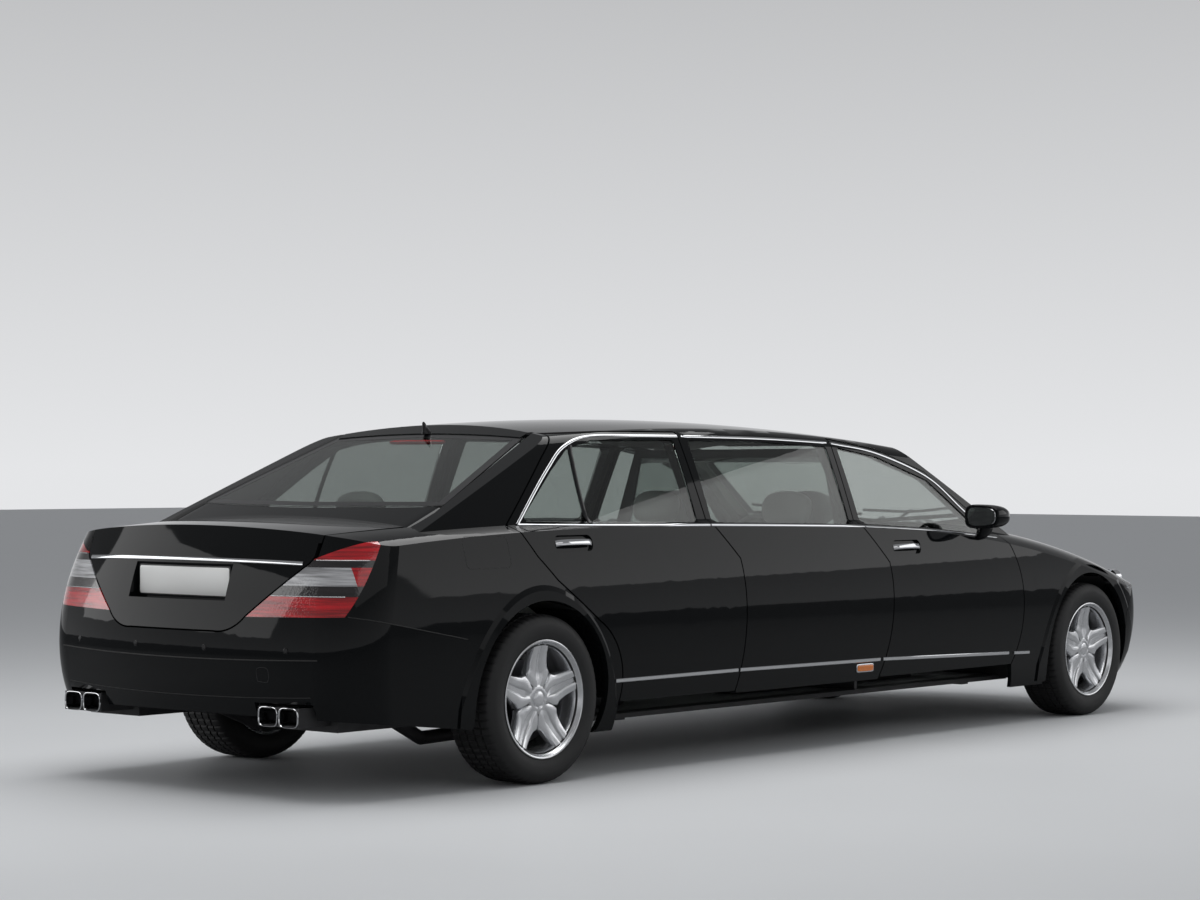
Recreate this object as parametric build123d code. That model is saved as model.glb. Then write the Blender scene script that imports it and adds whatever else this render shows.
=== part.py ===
"""Stretch limousine: an armoured four-door saloon with a long fixed section between its doors.

Millimetres. +X is forward, +Y is the car's left, +Z is up. The origin is on the floor,
under the middle of the bounding box.
"""
from build123d import *
import math
import os

# ---------------------------------------------------------------- driving dimensions
LENGTH = 6356                 # over the bumpers
WIDTH = 1871                  # over the wheel-arch lips, without the mirrors
HEIGHT = 1500                 # roof crown above the floor
WHEELBASE = 4315
FRONT_OVERHANG = 845
TRACK_HALF = 800              # wheel centre plane from the car's centre plane

NOSE_X = LENGTH / 2
TAIL_X = -LENGTH / 2
FRONT_AXLE_X = NOSE_X - FRONT_OVERHANG
REAR_AXLE_X = FRONT_AXLE_X - WHEELBASE

TYRE_RADIUS = 343
TYRE_WIDTH = 250
RIM_RADIUS = 241              # outer edge of the rim flange
RIM_WIDTH = 232
ARCH_RADIUS = 398             # edge of the wheel opening, about the wheel centre
LIP_RADIUS = 478              # where the flared lip runs out into the panel
HUB_HEIGHT = TYRE_RADIUS

SHUT_GAP = 7                  # between a moving panel and its neighbours
SEAM_GAP = 0.4                # between panels that are fixed to each other
SKIN = 20                     # depth of the outer layer of the body
WALL = 85                     # full thickness of a door below the windows
FRAME = 46                    # full thickness of a window frame and of the roof
TOP_WALL = 30                 # bonnet, boot lid and the ledge under the windows
DOOR_STEP = 26                # how far a door's inner part stands back from its outline
CORNER_LEAST = 60             # smallest plan radius of an inner corner

GLASS = 5                     # thickness of each pane
GLASS_SINK = 4                # depth of the glass below the body surface
GLASS_EDGE = 0.3              # clearance round a pane in its opening
REACH = 1300                  # length of the cutting prisms, past any panel

# plan outline of the lower body at each height
#   height, half width, nose set-back, tail set-back, front corner radius, rear corner radius
WATERLINES = [
    (170, 868, 112, 150, 400, 240),
    (340, 915, 20, 34, 400, 240),
    (520, 932, 1, 0, 400, 240),
    (740, 930, 66, 22, 400, 240),
    (930, 900, 205, 84, 400, 240),
    (1100, 850, 400, 160, 400, 240),
]
NOSE_CURVE = 2300             # plan radius of the nose
TAIL_CURVE = 3200             # plan radius of the tail
SIDE_CURVE = 150000           # plan radius of the flanks

# top of the lower body: bonnet, waist under the windows, deck; a control net
#   station along the car, height on the centre line, height at the edge
TOP_LINE = [
    (-3200, 1035, 962), (-1920, 1150, 1105), (-640, 1130, 1075),
    (640, 1085, 1046), (1920, 1135, 1110), (3200, 715, 540),
]
EDGE_ROLL = 120               # extra fall at the edge, beyond the crown
EDGE_ROLL_POWER = 12          # how late the edge rolls off
TOP_EDGE_Y = 950

# cabin above the waist: one cross section carried along a long roof arc
ROOF_ARC = 15000
ROOF_PEAK_X = -550
ROOF_CORNER = (672, 52)       # half width, drop below the crown
ROOF_CORNER_RADIUS = 85
WAIST_HALF = 862
WAIST_DROP = 550              # depth below the crown at which the cabin is that wide
CABIN_BULGE = 7               # convexity of the cabin's sides
SCREEN_RAKE = 27              # degrees from level
SCREEN_BASE_X = 1756          # centre of the windscreen's surface at the base height
SCREEN_CURVE = 2400           # plan radius
BACKLIGHT_RAKE = 22.5
BACKLIGHT_BASE_X = -2728
BACKLIGHT_CURVE = 3600
GLASS_BASE_Z = 1000

# shut lines and seams seen from the side, from the top down: (x, z)
#   a four-number entry is an arc through its first point to its second
LINE_FENDER = [(1562, 930), (1676, 640, 1590, 300)]
LINE_FRONT_B = [(333, 1418), (322, 1008), (488, 838), (494, 560, 409, 300)]
LINE_REAR_B = [(-829, 1436), (-808, 1032), (-664, 882), (-648, 600, -700, 300)]
LINE_QUARTER = [(-1640, 1420), (-1765, 1320), (-2090, 1045), (-1995, 918), (-1892, 820), (-1640, 645)]
SILL_Z = 300                  # lower edge of the doors
ROCKER_Z = 178                # lower edge of the sills
RAIL_FRONT = [(700, 1372), (1085, 1262), (1562, 968)]      # windscreen-pillar edge of the front door

BUMPER_FRONT_SEAM = [(2722, 300), (2722, 520), (2800, 600), (2830, 640)]

HINGE_PIN = 5                 # radius of a hinge pin
HINGE_BORE = 5.3
HINGE_HEIGHTS = (505, 700)
HINGE_SPAN = 90               # length of a door hinge pin
HINGE_DEPTH = 20              # door hinge axis below the widest part of the skin
FRONT_HINGE_X = 1535
REAR_HINGE_X = -795
HINGE_Y = WIDTH / 2 - 3 - HINGE_DEPTH

ROOF_SEAM_Y = 540             # the roof keeps everything above the windows inboard of this

PARTS = "parts"


# ---------------------------------------------------------------- helpers
def outline(start, *steps):
    """Closed face in the drawing plane from points, with arcs where a step has four numbers."""
    edges = []
    here = start
    for step in list(steps) + [start]:
        if len(step) == 4:
            edges += ThreePointArc(here, step[:2], step[2:]).edges()
            here = step[2:]
        elif (step[0], step[1]) != (here[0], here[1]):
            edges += Line(here, step).edges()
            here = step
    return make_face(edges)


def rounded(face, inset, radius):
    """The face drawn in by inset, with its outer corners rounded."""
    small = offset(face, -(inset + radius), kind=Kind.INTERSECTION)
    return offset(small, radius, kind=Kind.ARC)


def side_prism(face):
    """Prism through the right-hand side of the car from an outline drawn in (x, z)."""
    return extrude(Plane.XZ * face, amount=REACH, dir=(0, -1, 0))


def rear_prism(face, x_from, x_to):
    """Prism along the car from an outline drawn in (y, z)."""
    plane = Plane(origin=(x_from, 0, 0), x_dir=(0, 1, 0), z_dir=(1, 0, 0))
    return extrude(plane * face, amount=x_to - x_from, dir=(1, 0, 0))


def plan_prism(face, z_from, z_to):
    return Pos(0, 0, z_from) * extrude(face, amount=z_to - z_from)


def block(x0, x1, y0, y1, z0, z1):
    return Pos((x0 + x1) / 2, (y0 + y1) / 2, (z0 + z1) / 2) * Box(x1 - x0, y1 - y0, z1 - z0)


def rod(start, end, radius):
    """Round bar between two points."""
    a, b = Vector(*start), Vector(*end)
    return Plane(origin=a, z_dir=b - a) * Cylinder(radius, (b - a).length, align=(Align.CENTER, Align.CENTER, Align.MIN))


def drum(x, y, z, radius, width):
    """Cylinder across the car, its middle at (x, y, z)."""
    return Pos(x, y, z) * Rot(90, 0, 0) * Cylinder(radius, width)


def other_side(shape):
    return mirror(shape, about=Plane.XZ)


def both(shape):
    return Compound(solids_of(shape) + solids_of(other_side(shape)))


def solids_of(shape):
    return [s for s in shape.solids()]


def largest(shape):
    return max(shape.solids(), key=lambda s: s.volume)


# ---------------------------------------------------------------- body surfaces
def flank_end(curve_centre, curve, half):
    """Where an end curve of the plan outline meets the flank."""
    y = half
    for _ in range(30):
        x = curve_centre + curve * math.sqrt(1 - (y / curve) ** 2)
        y = half - SIDE_CURVE + math.sqrt(SIDE_CURVE ** 2 - x * x)
    return x, y


def waterline(height, half, nose_back, tail_back, front_radius, rear_radius, inset):
    half -= inset
    nose = NOSE_X - nose_back - inset
    tail = TAIL_X + tail_back + inset
    xf, yf = flank_end(nose - NOSE_CURVE, NOSE_CURVE, half)
    xr, yr = flank_end(tail + TAIL_CURVE, -TAIL_CURVE, half)
    face = outline((xf, -yf), (nose, 0, xf, yf), (0, half, xr, yr), (tail, 0, xr, -yr), (0, -half, xf, -yf))
    face = fillet(face.vertices().filter_by(lambda v: v.X > 0), max(front_radius - inset, CORNER_LEAST))
    face = fillet(face.vertices().filter_by(lambda v: abs(v.X - xr) < 2), max(rear_radius - inset, CORNER_LEAST))
    return Pos(0, 0, height) * face


def top_weights(y):
    """Share of the crown and of the edge roll at a distance from the centre plane."""
    t = y / TOP_EDGE_Y
    return t * t, t ** EDGE_ROLL_POWER


def top_height(x, y):
    """Height of the lower body's top surface."""
    count = len(TOP_LINE) - 1
    t = (x - TOP_LINE[0][0]) / (TOP_LINE[-1][0] - TOP_LINE[0][0])
    share = [math.comb(count, k) * t ** k * (1 - t) ** (count - k) for k in range(count + 1)]
    centre = sum(w * row[1] for w, row in zip(share, TOP_LINE))
    edge = sum(w * row[2] for w, row in zip(share, TOP_LINE))
    crown, roll = top_weights(y)
    return centre - (centre - edge) * crown - EDGE_ROLL * roll


def even_power_controls(power, degree):
    """Bezier ordinates over -1..1 of t to an even power."""
    values = []
    for k in range(degree + 1):
        total = 0
        for j in range(power + 1):
            if j <= k and power - j <= degree - k:
                total += math.comb(k, j) * math.comb(degree - k, power - j) * (-1) ** (power - j)
        values.append(total / math.comb(degree, power))
    return values


def under_top(drop):
    """Everything below the top surface, lowered by drop."""
    degree = EDGE_ROLL_POWER
    crown = even_power_controls(2, degree)
    roll = even_power_controls(degree, degree)
    net = []
    for x, centre, edge in TOP_LINE:
        row = []
        for k in range(degree + 1):
            y = TOP_EDGE_Y * (2 * k / degree - 1)
            row.append(Vector(x, y, centre - drop - (centre - edge) * crown[k] - EDGE_ROLL * roll[k]))
        net.append(row)
    return extrude(Face.make_bezier_surface(net), amount=REACH, dir=(0, 0, -1))


def lower_body(inset, drop):
    tub = loft([waterline(*row, inset) for row in WATERLINES])
    return largest(tub & under_top(drop))


def cabin(inset):
    """Solid form of the cabin above the waist, drawn in by inset."""
    y0, drop = ROOF_CORNER
    y0, top, low = y0 - inset, HEIGHT - drop - inset, HEIGHT - WAIST_DROP
    y1 = WAIST_HALF - inset
    mid = ((y0 + y1) / 2 + CABIN_BULGE, (top + low) / 2)
    face = outline((-y0, top), (0, HEIGHT - inset, y0, top), (*mid, y1, low), (-y1, low), (-mid[0], mid[1], -y0, top))
    face = fillet(face.vertices().filter_by(lambda v: v.Y > top - 1), max(ROOF_CORNER_RADIUS - inset, 30))
    sweep_angle = 24
    plane = Plane(origin=(ROOF_PEAK_X, 0, 0), x_dir=(0, 1, 0), z_dir=(1, 0, 0))
    axis = Axis((ROOF_PEAK_X, 0, HEIGHT - ROOF_ARC), (0, 1, 0))
    start = (plane * face).rotate(axis, -sweep_angle / 2)
    shell = revolve(start, axis=axis, revolution_arc=sweep_angle)
    screen = behind_glass(SCREEN_BASE_X, SCREEN_CURVE, SCREEN_RAKE, inset)
    backlight = behind_glass(BACKLIGHT_BASE_X, BACKLIGHT_CURVE, 180 - BACKLIGHT_RAKE, inset)
    return largest(shell & screen & backlight)


def behind_glass(base_x, curve, rake, inset):
    """Everything behind a raked pane that is curved in plan; a rake over 90 leans forward."""
    way = 1 if rake < 90 else -1
    slope = Vector(-math.cos(math.radians(rake)), 0, math.sin(math.radians(rake)))
    x = base_x - way * inset / math.sin(math.radians(rake))
    half = 1000
    dip = curve - math.sqrt(curve ** 2 - half ** 2)
    far = x - way * 7000
    face = outline((x - way * dip, -half), (x, 0, x - way * dip, half), (far, half), (far, -half))
    below = 200
    start = Vector(0, 0, GLASS_BASE_Z) - slope * (below / slope.Z)
    return Pos(start.X, 0, start.Z) * extrude(face, amount=900 / slope.Z, dir=slope)


RIGHT_HALF = block(TAIL_X - 20, NOSE_X + 20, -WIDTH, -200, 0, 2 * HEIGHT)

LOWER = lower_body(0, 0)
CABIN = cabin(0)
LOWER_RIGHT = largest(LOWER & RIGHT_HALF)
CABIN_RIGHT = largest(CABIN & RIGHT_HALF)
SKIN_LOWER_IN = lower_body(SKIN, SKIN)
SKIN_CABIN_IN = cabin(SKIN)
FULL_LOWER_IN = lower_body(WALL, TOP_WALL)
FULL_CABIN_IN = cabin(FRAME)
CAP = largest(LOWER - under_top(TOP_WALL))


def skin_panel(prism):
    """Outer layer of the right-hand body inside a prism."""
    return (LOWER_RIGHT & prism) + (CABIN_RIGHT & prism) - SKIN_LOWER_IN - SKIN_CABIN_IN


def full_panel(prism):
    """Whole wall of the right-hand body inside a prism."""
    return (LOWER_RIGHT & prism) + (CABIN_RIGHT & prism) - FULL_LOWER_IN - FULL_CABIN_IN


# ---------------------------------------------------------------- outlines in the side view
def reverse(line):
    """The same line walked from its end to its start."""
    points = []
    for i in range(len(line) - 1, 0, -1):
        before = line[i - 1][-2:]
        if len(line[i]) == 4:
            points.append((line[i][0], line[i][1], *before))
        else:
            points.append(tuple(before))
    return [tuple(line[-1][-2:])] + points


def arch(x, radius):
    return drum(x, 0, HUB_HEIGHT, radius, 3 * WIDTH)


FRONT_DOOR = outline(*LINE_FRONT_B, *reverse(LINE_FENDER), *RAIL_FRONT[::-1])
SEAM_GROWTH = SHUT_GAP / 2 - SEAM_GAP
MIDDLE = outline((-829, 1436 + SEAM_GROWTH), *LINE_REAR_B[1:], (-700, SILL_Z - SHUT_GAP - SEAM_GROWTH),
                 (409, SILL_Z - SHUT_GAP - SEAM_GROWTH), *reverse(LINE_FRONT_B)[:-1], (333, 1418 + SEAM_GROWTH))
REAR_DOOR_TAIL = [(-1510, 500, -1494, 300)]
REAR_DOOR = outline(*LINE_QUARTER, *REAR_DOOR_TAIL, *reverse(LINE_REAR_B), (-1300, 1433))
QUARTER = outline(*LINE_QUARTER, (-1510, 500, -1494, 300), (-1494, ROCKER_Z), (-3300, ROCKER_Z), (-3300, 1130),
                  (-2600, 1130), (-2300, 1200), (-1600, 1480))
FENDER = outline(*LINE_FENDER, (1590, 300), (1640, ROCKER_Z), (2722, ROCKER_Z), *BUMPER_FRONT_SEAM[1:],
                 (3000, 830), (3000, 1100), (1562, 1100))

# window openings, inside the frames
WINDOW_FRONT = outline((372, 1378), (372, 1018), (900, 992), (1475, 950), (1085, 1222), (690, 1335))
WINDOW_MIDDLE = outline((-770, 1400), (-770, 1040), (285, 1018), (285, 1380), (-200, 1396))
WINDOW_REAR = outline((-870, 1400), (-870, 1042), (-1500, 1050), (-2000, 1060), (-1735, 1262), (-1600, 1352),
                      (-1420, 1396))


def pane(window, side_corner):
    """One side window pane, set just inside the body surface."""
    layer = FORM_GLASS_OUT - FORM_GLASS_IN
    return largest(layer & side_prism(rounded(window, GLASS_EDGE, side_corner)))


FORM_GLASS_OUT = cabin(GLASS_SINK)
FORM_GLASS_IN = cabin(GLASS_SINK + GLASS)
WINDOW_CORNER = 14


def hinged_door(region, window, hinge_x):
    """A door: outer layer to the full outline, inner part stepped back, window cut, hinge pockets."""
    half_gap = SHUT_GAP / 2
    outer = skin_panel(side_prism(rounded(region, half_gap, 10)))
    inner = full_panel(side_prism(rounded(region, half_gap + DOOR_STEP, 10)))
    door = largest(outer + inner) - block(-4000, 4000, -ROOF_SEAM_Y - SHUT_GAP, 0, 1200, 1600)
    door = door - side_prism(rounded(window, 0, WINDOW_CORNER))
    for z in HINGE_HEIGHTS:
        slot = HINGE_SPAN / 2 - 12
        door -= block(hinge_x - 9, hinge_x + 200, -HINGE_Y - 6, -HINGE_Y + 220, z - slot, z + slot)
        door -= Pos(hinge_x, -HINGE_Y, z) * Cylinder(HINGE_BORE, HINGE_SPAN + 2)
    return largest(door)


FRONT_STRAP = 150             # how far in a hinge's strap goes before it turns forward
REAR_STRAP = 166


def hinge_brackets(hinge_x, post_x, reach):
    """Pins and straps that carry a right-hand door, fixed to the post ahead of it."""
    pieces = []
    for z in HINGE_HEIGHTS:
        pin = Pos(hinge_x, -HINGE_Y, z) * Cylinder(HINGE_PIN, HINGE_SPAN)
        strap = block(hinge_x - 4, hinge_x + 4, -HINGE_Y, -HINGE_Y + reach, z - 22, z + 22)
        arm = block(hinge_x - 4, post_x, -HINGE_Y + reach - 8, -HINGE_Y + reach, z - 22, z + 22)
        pieces.append(pin + strap + arm)
    return pieces



# ---------------------------------------------------------------- output
NODES = {}


def add(name, shape):
    """Keep a finished sub-part under its name."""
    pieces = solids_of(shape)
    NODES[name] = pieces[0] if len(pieces) == 1 else Compound(pieces)


# ---------------------------------------------------------------- fixed panels
HOOD_REAR_X = 1792            # centre of the bonnet's rear edge
HOOD_REAR_CORNER = (1768, 735)
HOOD_FRONT_X = 3052
HOOD_FRONT_CORNER = (2905, 640)
LID_FRONT_X = -2572
LID_HALF_FRONT = 690
LID_HALF_REAR = 655

WINDSCREEN = outline((-582, 1420), (582, 1420), (718, 1036), (0, 992, -718, 1036))
BACKLIGHT = outline((-548, 1404), (0, 1424, 548, 1404), (694, 1122), (0, 1112, -694, 1122))
HEADLAMP = outline((-452, 742), (-468, 622), (-640, 590), (-960, 655), (-960, 790), (-760, 772))
TAIL_LAMP = outline((-640, 918), (-369, 701), (-960, 712), (-960, 975), (-827, 997))
LID_BACK = outline((-655, 1200), (-655, 934), (-640, 912), (-392, 706), (-330, 660, -240, 646), (240, 646),
                   (330, 660, 392, 706), (640, 912), (655, 934), (655, 1200))
GRILLE = outline((-352, 775), (352, 775), (300, 560), (-300, 560))
INTAKE = outline((-520, 430), (520, 430), (470, 300), (-470, 300))
REAR_BUMPER_TOP = 712


def grown(face, amount):
    """The face with its outline moved out by amount, or in where it is negative."""
    try:
        return offset(face, amount, kind=Kind.ARC)
    except ValueError:
        return offset(face, amount, kind=Kind.INTERSECTION)


def hood_plan(growth):
    (xr, yr), (xf, yf) = HOOD_REAR_CORNER, HOOD_FRONT_CORNER
    face = outline((xr, -yr), (HOOD_REAR_X, 0, xr, yr), (xf, yf), (HOOD_FRONT_X, 0, xf, -yf))
    return grown(face, growth) if growth else face


def lid_plan(growth):
    rear = TAIL_X - 60
    face = outline((LID_FRONT_X, -LID_HALF_FRONT), (LID_FRONT_X, LID_HALF_FRONT), (rear, LID_HALF_REAR),
                   (rear, -LID_HALF_REAR))
    return grown(face, growth) if growth else face


HOOD_CUT = plan_prism(hood_plan(SHUT_GAP), 690, 1300)
LID_CUT = plan_prism(lid_plan(SHUT_GAP), 934, 1300) + rear_prism(grown(LID_BACK, SHUT_GAP), TAIL_X - 10, -2900)


def right_lamp_prism(face, x_from, x_to, growth):
    return rear_prism(grown(face, growth) if growth else face, x_from, x_to)


HEADLAMP_BACK = outline((2790, 500), (2694, 830), (3400, 830), (3400, 500))
TAIL_LAMP_FRONT = outline((-3040, 690), (-2838, 1010), (-3400, 1010), (-3400, 690))


def headlamp_room(growth):
    return right_lamp_prism(HEADLAMP, 2600, 3300, growth) & side_prism(grown(HEADLAMP_BACK, growth))


def tail_lamp_room(growth):
    return right_lamp_prism(TAIL_LAMP, -3300, -2700, growth) & side_prism(grown(TAIL_LAMP_FRONT, growth))


FLARE_PROUD = 9               # most that a wheel opening's edge stands out from the skin


def arch_lip(x):
    """Flared edge of a right-hand wheel opening."""
    outer_y = -WIDTH / 2
    face = outline((0, 0), (ARCH_RADIUS + 14, 0), (LIP_RADIUS, 34), (LIP_RADIUS, 60), (0, 60))
    cone = revolve(Plane.XY * face, axis=Axis.Y)
    return (Pos(x, outer_y, HUB_HEIGHT) * cone) & FLARE_ROOM


FLARE_ROOM = lower_body(-FLARE_PROUD, -FLARE_PROUD)


LINER_ROOM = 84               # from the car's widest part to a wheel liner where a bumper covers it


def wheelhouse(x, radius, inner_y, region, bumper):
    """Arched liner over a right-hand wheel, out to the panel's skin within its region and clear of the bumper."""
    shell = drum(x, -700, HUB_HEIGHT, radius + 4, 600) - drum(x, -700, HUB_HEIGHT, radius, 700)
    shell = shell & block(x - 600, x + 600, -904, -inner_y, HUB_HEIGHT - 20, 1000)
    deep = shell & block(x - 600, x + 600, -872, 0, 0, 1000)
    covered = side_prism(grown(bumper, SEAM_GAP)) & block(x - 600, x + 600, -1000, -WIDTH / 2 + LINER_ROOM, 0, 1000)
    return largest(deep + (shell & region) - covered)


FRONT_BUMPER_SIDE = outline((2722, 300), *BUMPER_FRONT_SEAM[1:], (3000, 830), (3400, 830), (3400, 172), (2722, 172))
REAR_BUMPER_SIDE = outline((-3400, REAR_BUMPER_TOP), (-3045, REAR_BUMPER_TOP), (-2430, 600), (-2376, 540), (-2376, 178),
                           (-3400, 178))


ROOF_ROOM = cabin(-SEAM_GAP)


def fenders():
    region = side_prism(rounded(FENDER, SHUT_GAP / 2, 8))
    panel = (LOWER_RIGHT & region) - SKIN_LOWER_IN
    lip = (arch_lip(FRONT_AXLE_X) & region) - SKIN_LOWER_IN
    panel = panel + lip
    panel = panel - arch(FRONT_AXLE_X, ARCH_RADIUS) - HOOD_CUT - headlamp_room(SEAM_GAP)
    panel = panel - block(1500, 2690, -700, 0, 178, 1300)
    panel = panel - ROOF_ROOM
    panel = largest(panel) + wheelhouse(FRONT_AXLE_X, 436, 505, region, FRONT_BUMPER_SIDE)
    panel = panel - headlamp_room(SEAM_GAP)
    add("fenders", both(largest(panel)))


def quarters():
    region = side_prism(rounded(QUARTER, SHUT_GAP / 2, 8))
    panel = skin_panel(region)
    lip = (arch_lip(REAR_AXLE_X) & region) - SKIN_LOWER_IN
    panel = panel + lip
    panel = panel - arch(REAR_AXLE_X, ARCH_RADIUS) - LID_CUT - tail_lamp_room(SEAM_GAP)
    panel = panel - side_prism(grown(REAR_BUMPER_SIDE, SEAM_GAP))
    inboard = outline((-1500, 0), (-1500, -560), (-1640, -560), (-2420, -716), (-2500, -716), (-3400, -640), (-3400, 0))
    panel = panel - plan_prism(inboard, 178, 1500)
    panel = largest(panel) + wheelhouse(REAR_AXLE_X, 404, 662, region, REAR_BUMPER_SIDE)
    add("quarters", both(largest(panel)))


def middle_panels():
    panel = full_panel(side_prism(rounded(MIDDLE, SHUT_GAP / 2, 10)))
    panel = largest(panel) - side_prism(rounded(WINDOW_MIDDLE, 0, WINDOW_CORNER))
    panel = panel - block(-4000, 4000, -ROOF_SEAM_Y - SEAM_GAP, 0, 1200, 1600)
    post = block(-640, -560, -870, -HINGE_Y + REAR_STRAP, 300, 860)
    post = post - side_prism(MIDDLE_OUTSIDE)
    panel = panel + post
    for bracket in hinge_brackets(REAR_HINGE_X, -600, REAR_STRAP):
        panel = panel + bracket
    add("middle_panels", both(largest(panel)))


MIDDLE_OUTSIDE = outline((-900, 200), (-641, 200), (-641, 1000), (-900, 1000))


def roof():
    layer = largest(CABIN - FULL_CABIN_IN) - under_top(-SEAM_GAP)
    for region, growth in ((FRONT_DOOR, SHUT_GAP / 2), (REAR_DOOR, SHUT_GAP / 2), (MIDDLE, -SHUT_GAP / 2 + SEAM_GAP),
                           (QUARTER, -SHUT_GAP / 2 + SEAM_GAP)):
        room = side_prism(grown(region, growth)) & block(-4000, 4000, -1300, -ROOF_SEAM_Y, 0, 2000)
        layer = layer - room - other_side(room)
    layer = layer - rear_prism(WINDSCREEN, 700, 2400)
    layer = layer - rear_prism(BACKLIGHT, -3000, -1500)
    add("roof", largest(layer))


def screens():
    layer = largest(FORM_GLASS_OUT - FORM_GLASS_IN)
    add("windscreen", largest(layer & rear_prism(grown(WINDSCREEN, -GLASS_EDGE), 700, 2400)))
    add("backlight", largest(layer & rear_prism(grown(BACKLIGHT, -GLASS_EDGE), -3000, -1500)))


def cowl():
    (xr, yr) = HOOD_REAR_CORNER
    gap = HOOD_REAR_GAP
    plan = outline((1640, -yr), (xr - gap, -yr), (HOOD_REAR_X - gap, 0, xr - gap, yr), (1640, yr))
    panel = largest(CAP & plan_prism(plan, 600, 1300)) - ROOF_ROOM
    panel = panel & block(1000, 2200, -699.6, 699.6, 0, 2000)
    root_x = HOOD_REAR_X - gap - 40
    for arm in hinge_arms(HOOD_HINGE_X, root_x, HOOD_ARM_DROP):
        panel = panel + arm
    for side in (-1, 1):
        y = side * LID_HINGE_Y
        panel = panel + block(root_x, root_x + 24, y - 8, y + 8, hinge_z(HOOD_HINGE_X) - HOOD_ARM_DROP, top_height(root_x, y) - 12)
    add("cowl", largest(panel))


def front_bumper():
    layer = (LOWER & side_both(FRONT_BUMPER_SIDE)) - SKIN_LOWER_IN
    layer = layer - HOOD_CUT - headlamp_room(SEAM_GAP) - other_side(headlamp_room(SEAM_GAP))
    layer = layer - rear_prism(GRILLE, 2900, 3300) - rear_prism(INTAKE, 2900, 3300)
    flare = (arch_lip(FRONT_AXLE_X) & side_prism(FRONT_BUMPER_SIDE)) - SKIN_LOWER_IN
    layer = layer + flare + other_side(flare)
    layer = layer - arch(FRONT_AXLE_X, ARCH_RADIUS)
    add("front_bumper", largest(layer))


def side_both(face):
    return extrude(Plane.XZ * face, amount=REACH, both=True)


def rear_bumper():
    layer = (LOWER & side_both(REAR_BUMPER_SIDE)) - SKIN_LOWER_IN
    layer = layer - LID_CUT - tail_lamp_room(SEAM_GAP) - other_side(tail_lamp_room(SEAM_GAP))
    flare = (arch_lip(REAR_AXLE_X) & side_prism(REAR_BUMPER_SIDE)) - SKIN_LOWER_IN
    layer = layer + flare + other_side(flare)
    layer = layer - arch(REAR_AXLE_X, ARCH_RADIUS)
    belly = outline((-3300, 338), (-2900, 300), (-2300, 236), (-2300, 100), (-3300, 100))
    layer = layer - side_both(belly)
    for side in (-1, 1):
        layer = layer - Pos(-3100, side * 570, 320) * Box(300, 270, 110)
    add("rear_bumper", largest(layer))


def lamps():
    lamp = (LOWER_RIGHT & headlamp_room(0)) - FULL_LOWER_IN - HOOD_CUT
    add("headlamps", both(largest(lamp)))
    lamp = (LOWER_RIGHT & tail_lamp_room(0)) - FULL_LOWER_IN - LID_CUT
    add("tail_lamps", both(largest(lamp)))


def nose_x(z):
    """Foremost point of the plan outline at a height."""
    for low, high in zip(WATERLINES, WATERLINES[1:]):
        if z <= high[0]:
            break
    s = (z - low[0]) / (high[0] - low[0])
    return NOSE_X - low[2] - s * (high[2] - low[2])


def grille():
    back = LOWER & rear_prism(grown(GRILLE, -SEAM_GAP), 2900, 3300)
    ring = back - rear_prism(grown(GRILLE, -16), 2800, 3400)
    ring = ring - SKIN_LOWER_IN
    pieces = ring
    for i in range(4):
        z = 597 + 44 * i
        front = nose_x(z) - 16
        plan = outline((front - 35, -360), (front - 60, -360), (front - 60, 360), (front - 35, 360),
                       (front, 0, front - 35, -360))
        slat = plan_prism(plan, z, z + 14) & rear_prism(grown(GRILLE, -8), 2900, 3300)
        pieces = pieces + slat
    post = block(nose_x(770) - 70, nose_x(590) - 30, -8, 8, 570, 770)
    pieces = pieces + post
    add("grille", largest(pieces - HOOD_CUT))


# ---------------------------------------------------------------- lids
HOOD_REAR_GAP = 16            # between bonnet and cowl, which the bonnet's rear edge swings into
LID_HINGE_Y = 300             # hinges of bonnet and boot lid, from the centre plane
LID_HINGE_SINK = 17           # hinge axis below the surface
HOOD_HINGE_X = 1814
LID_HINGE_X = -2618
LID_PIN = 4
LID_BORE = 4.3
HOOD_ARM_DROP = 52            # depth of a lid's hinge arms below their pins
LID_ARM_DROP = 74
LUG = 12                      # half width of a hinge lug


def hinge_z(x):
    return top_height(x, LID_HINGE_Y) - LID_HINGE_SINK


def with_hinge_slots(panel, x, edge_x):
    """Cut the slots and pin holes of a lid's two hinges, open towards its hinged edge."""
    z = hinge_z(x)
    way = 1 if edge_x > x else -1
    for side in (-1, 1):
        y = side * LID_HINGE_Y
        x0, x1 = sorted((x - way * 14, edge_x + way * 60))
        panel = panel - block(x0, x1, y - LUG, y + LUG, z - 60, z + 9)
        panel = panel - drum(x, y, z, LID_BORE, 4 * LUG)
    return panel


def hinge_arms(x, root_x, drop):
    """Pins and arms that carry a lid, reaching back to root_x under its surface."""
    z = hinge_z(x)
    way = 1 if root_x > x else -1
    pieces = []
    for side in (-1, 1):
        y = side * LID_HINGE_Y
        pin = drum(x, y, z, LID_PIN, 4 * LUG - 2)
        neck = block(x - 5, x + 5, y - LUG + 4, y + LUG - 4, z - drop, z + 2)
        x0, x1 = sorted((x - way * 5, root_x))
        arm = block(x0, x1, y - LUG + 4, y + LUG - 4, z - drop, z - drop + 14)
        pieces.append(pin + neck + arm)
    return pieces


def hood():
    panel = largest(CAP & plan_prism(hood_plan(0), 500, 1300))
    panel = with_hinge_slots(panel, HOOD_HINGE_X, HOOD_REAR_X - 30)
    add("bonnet", largest(panel))


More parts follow.
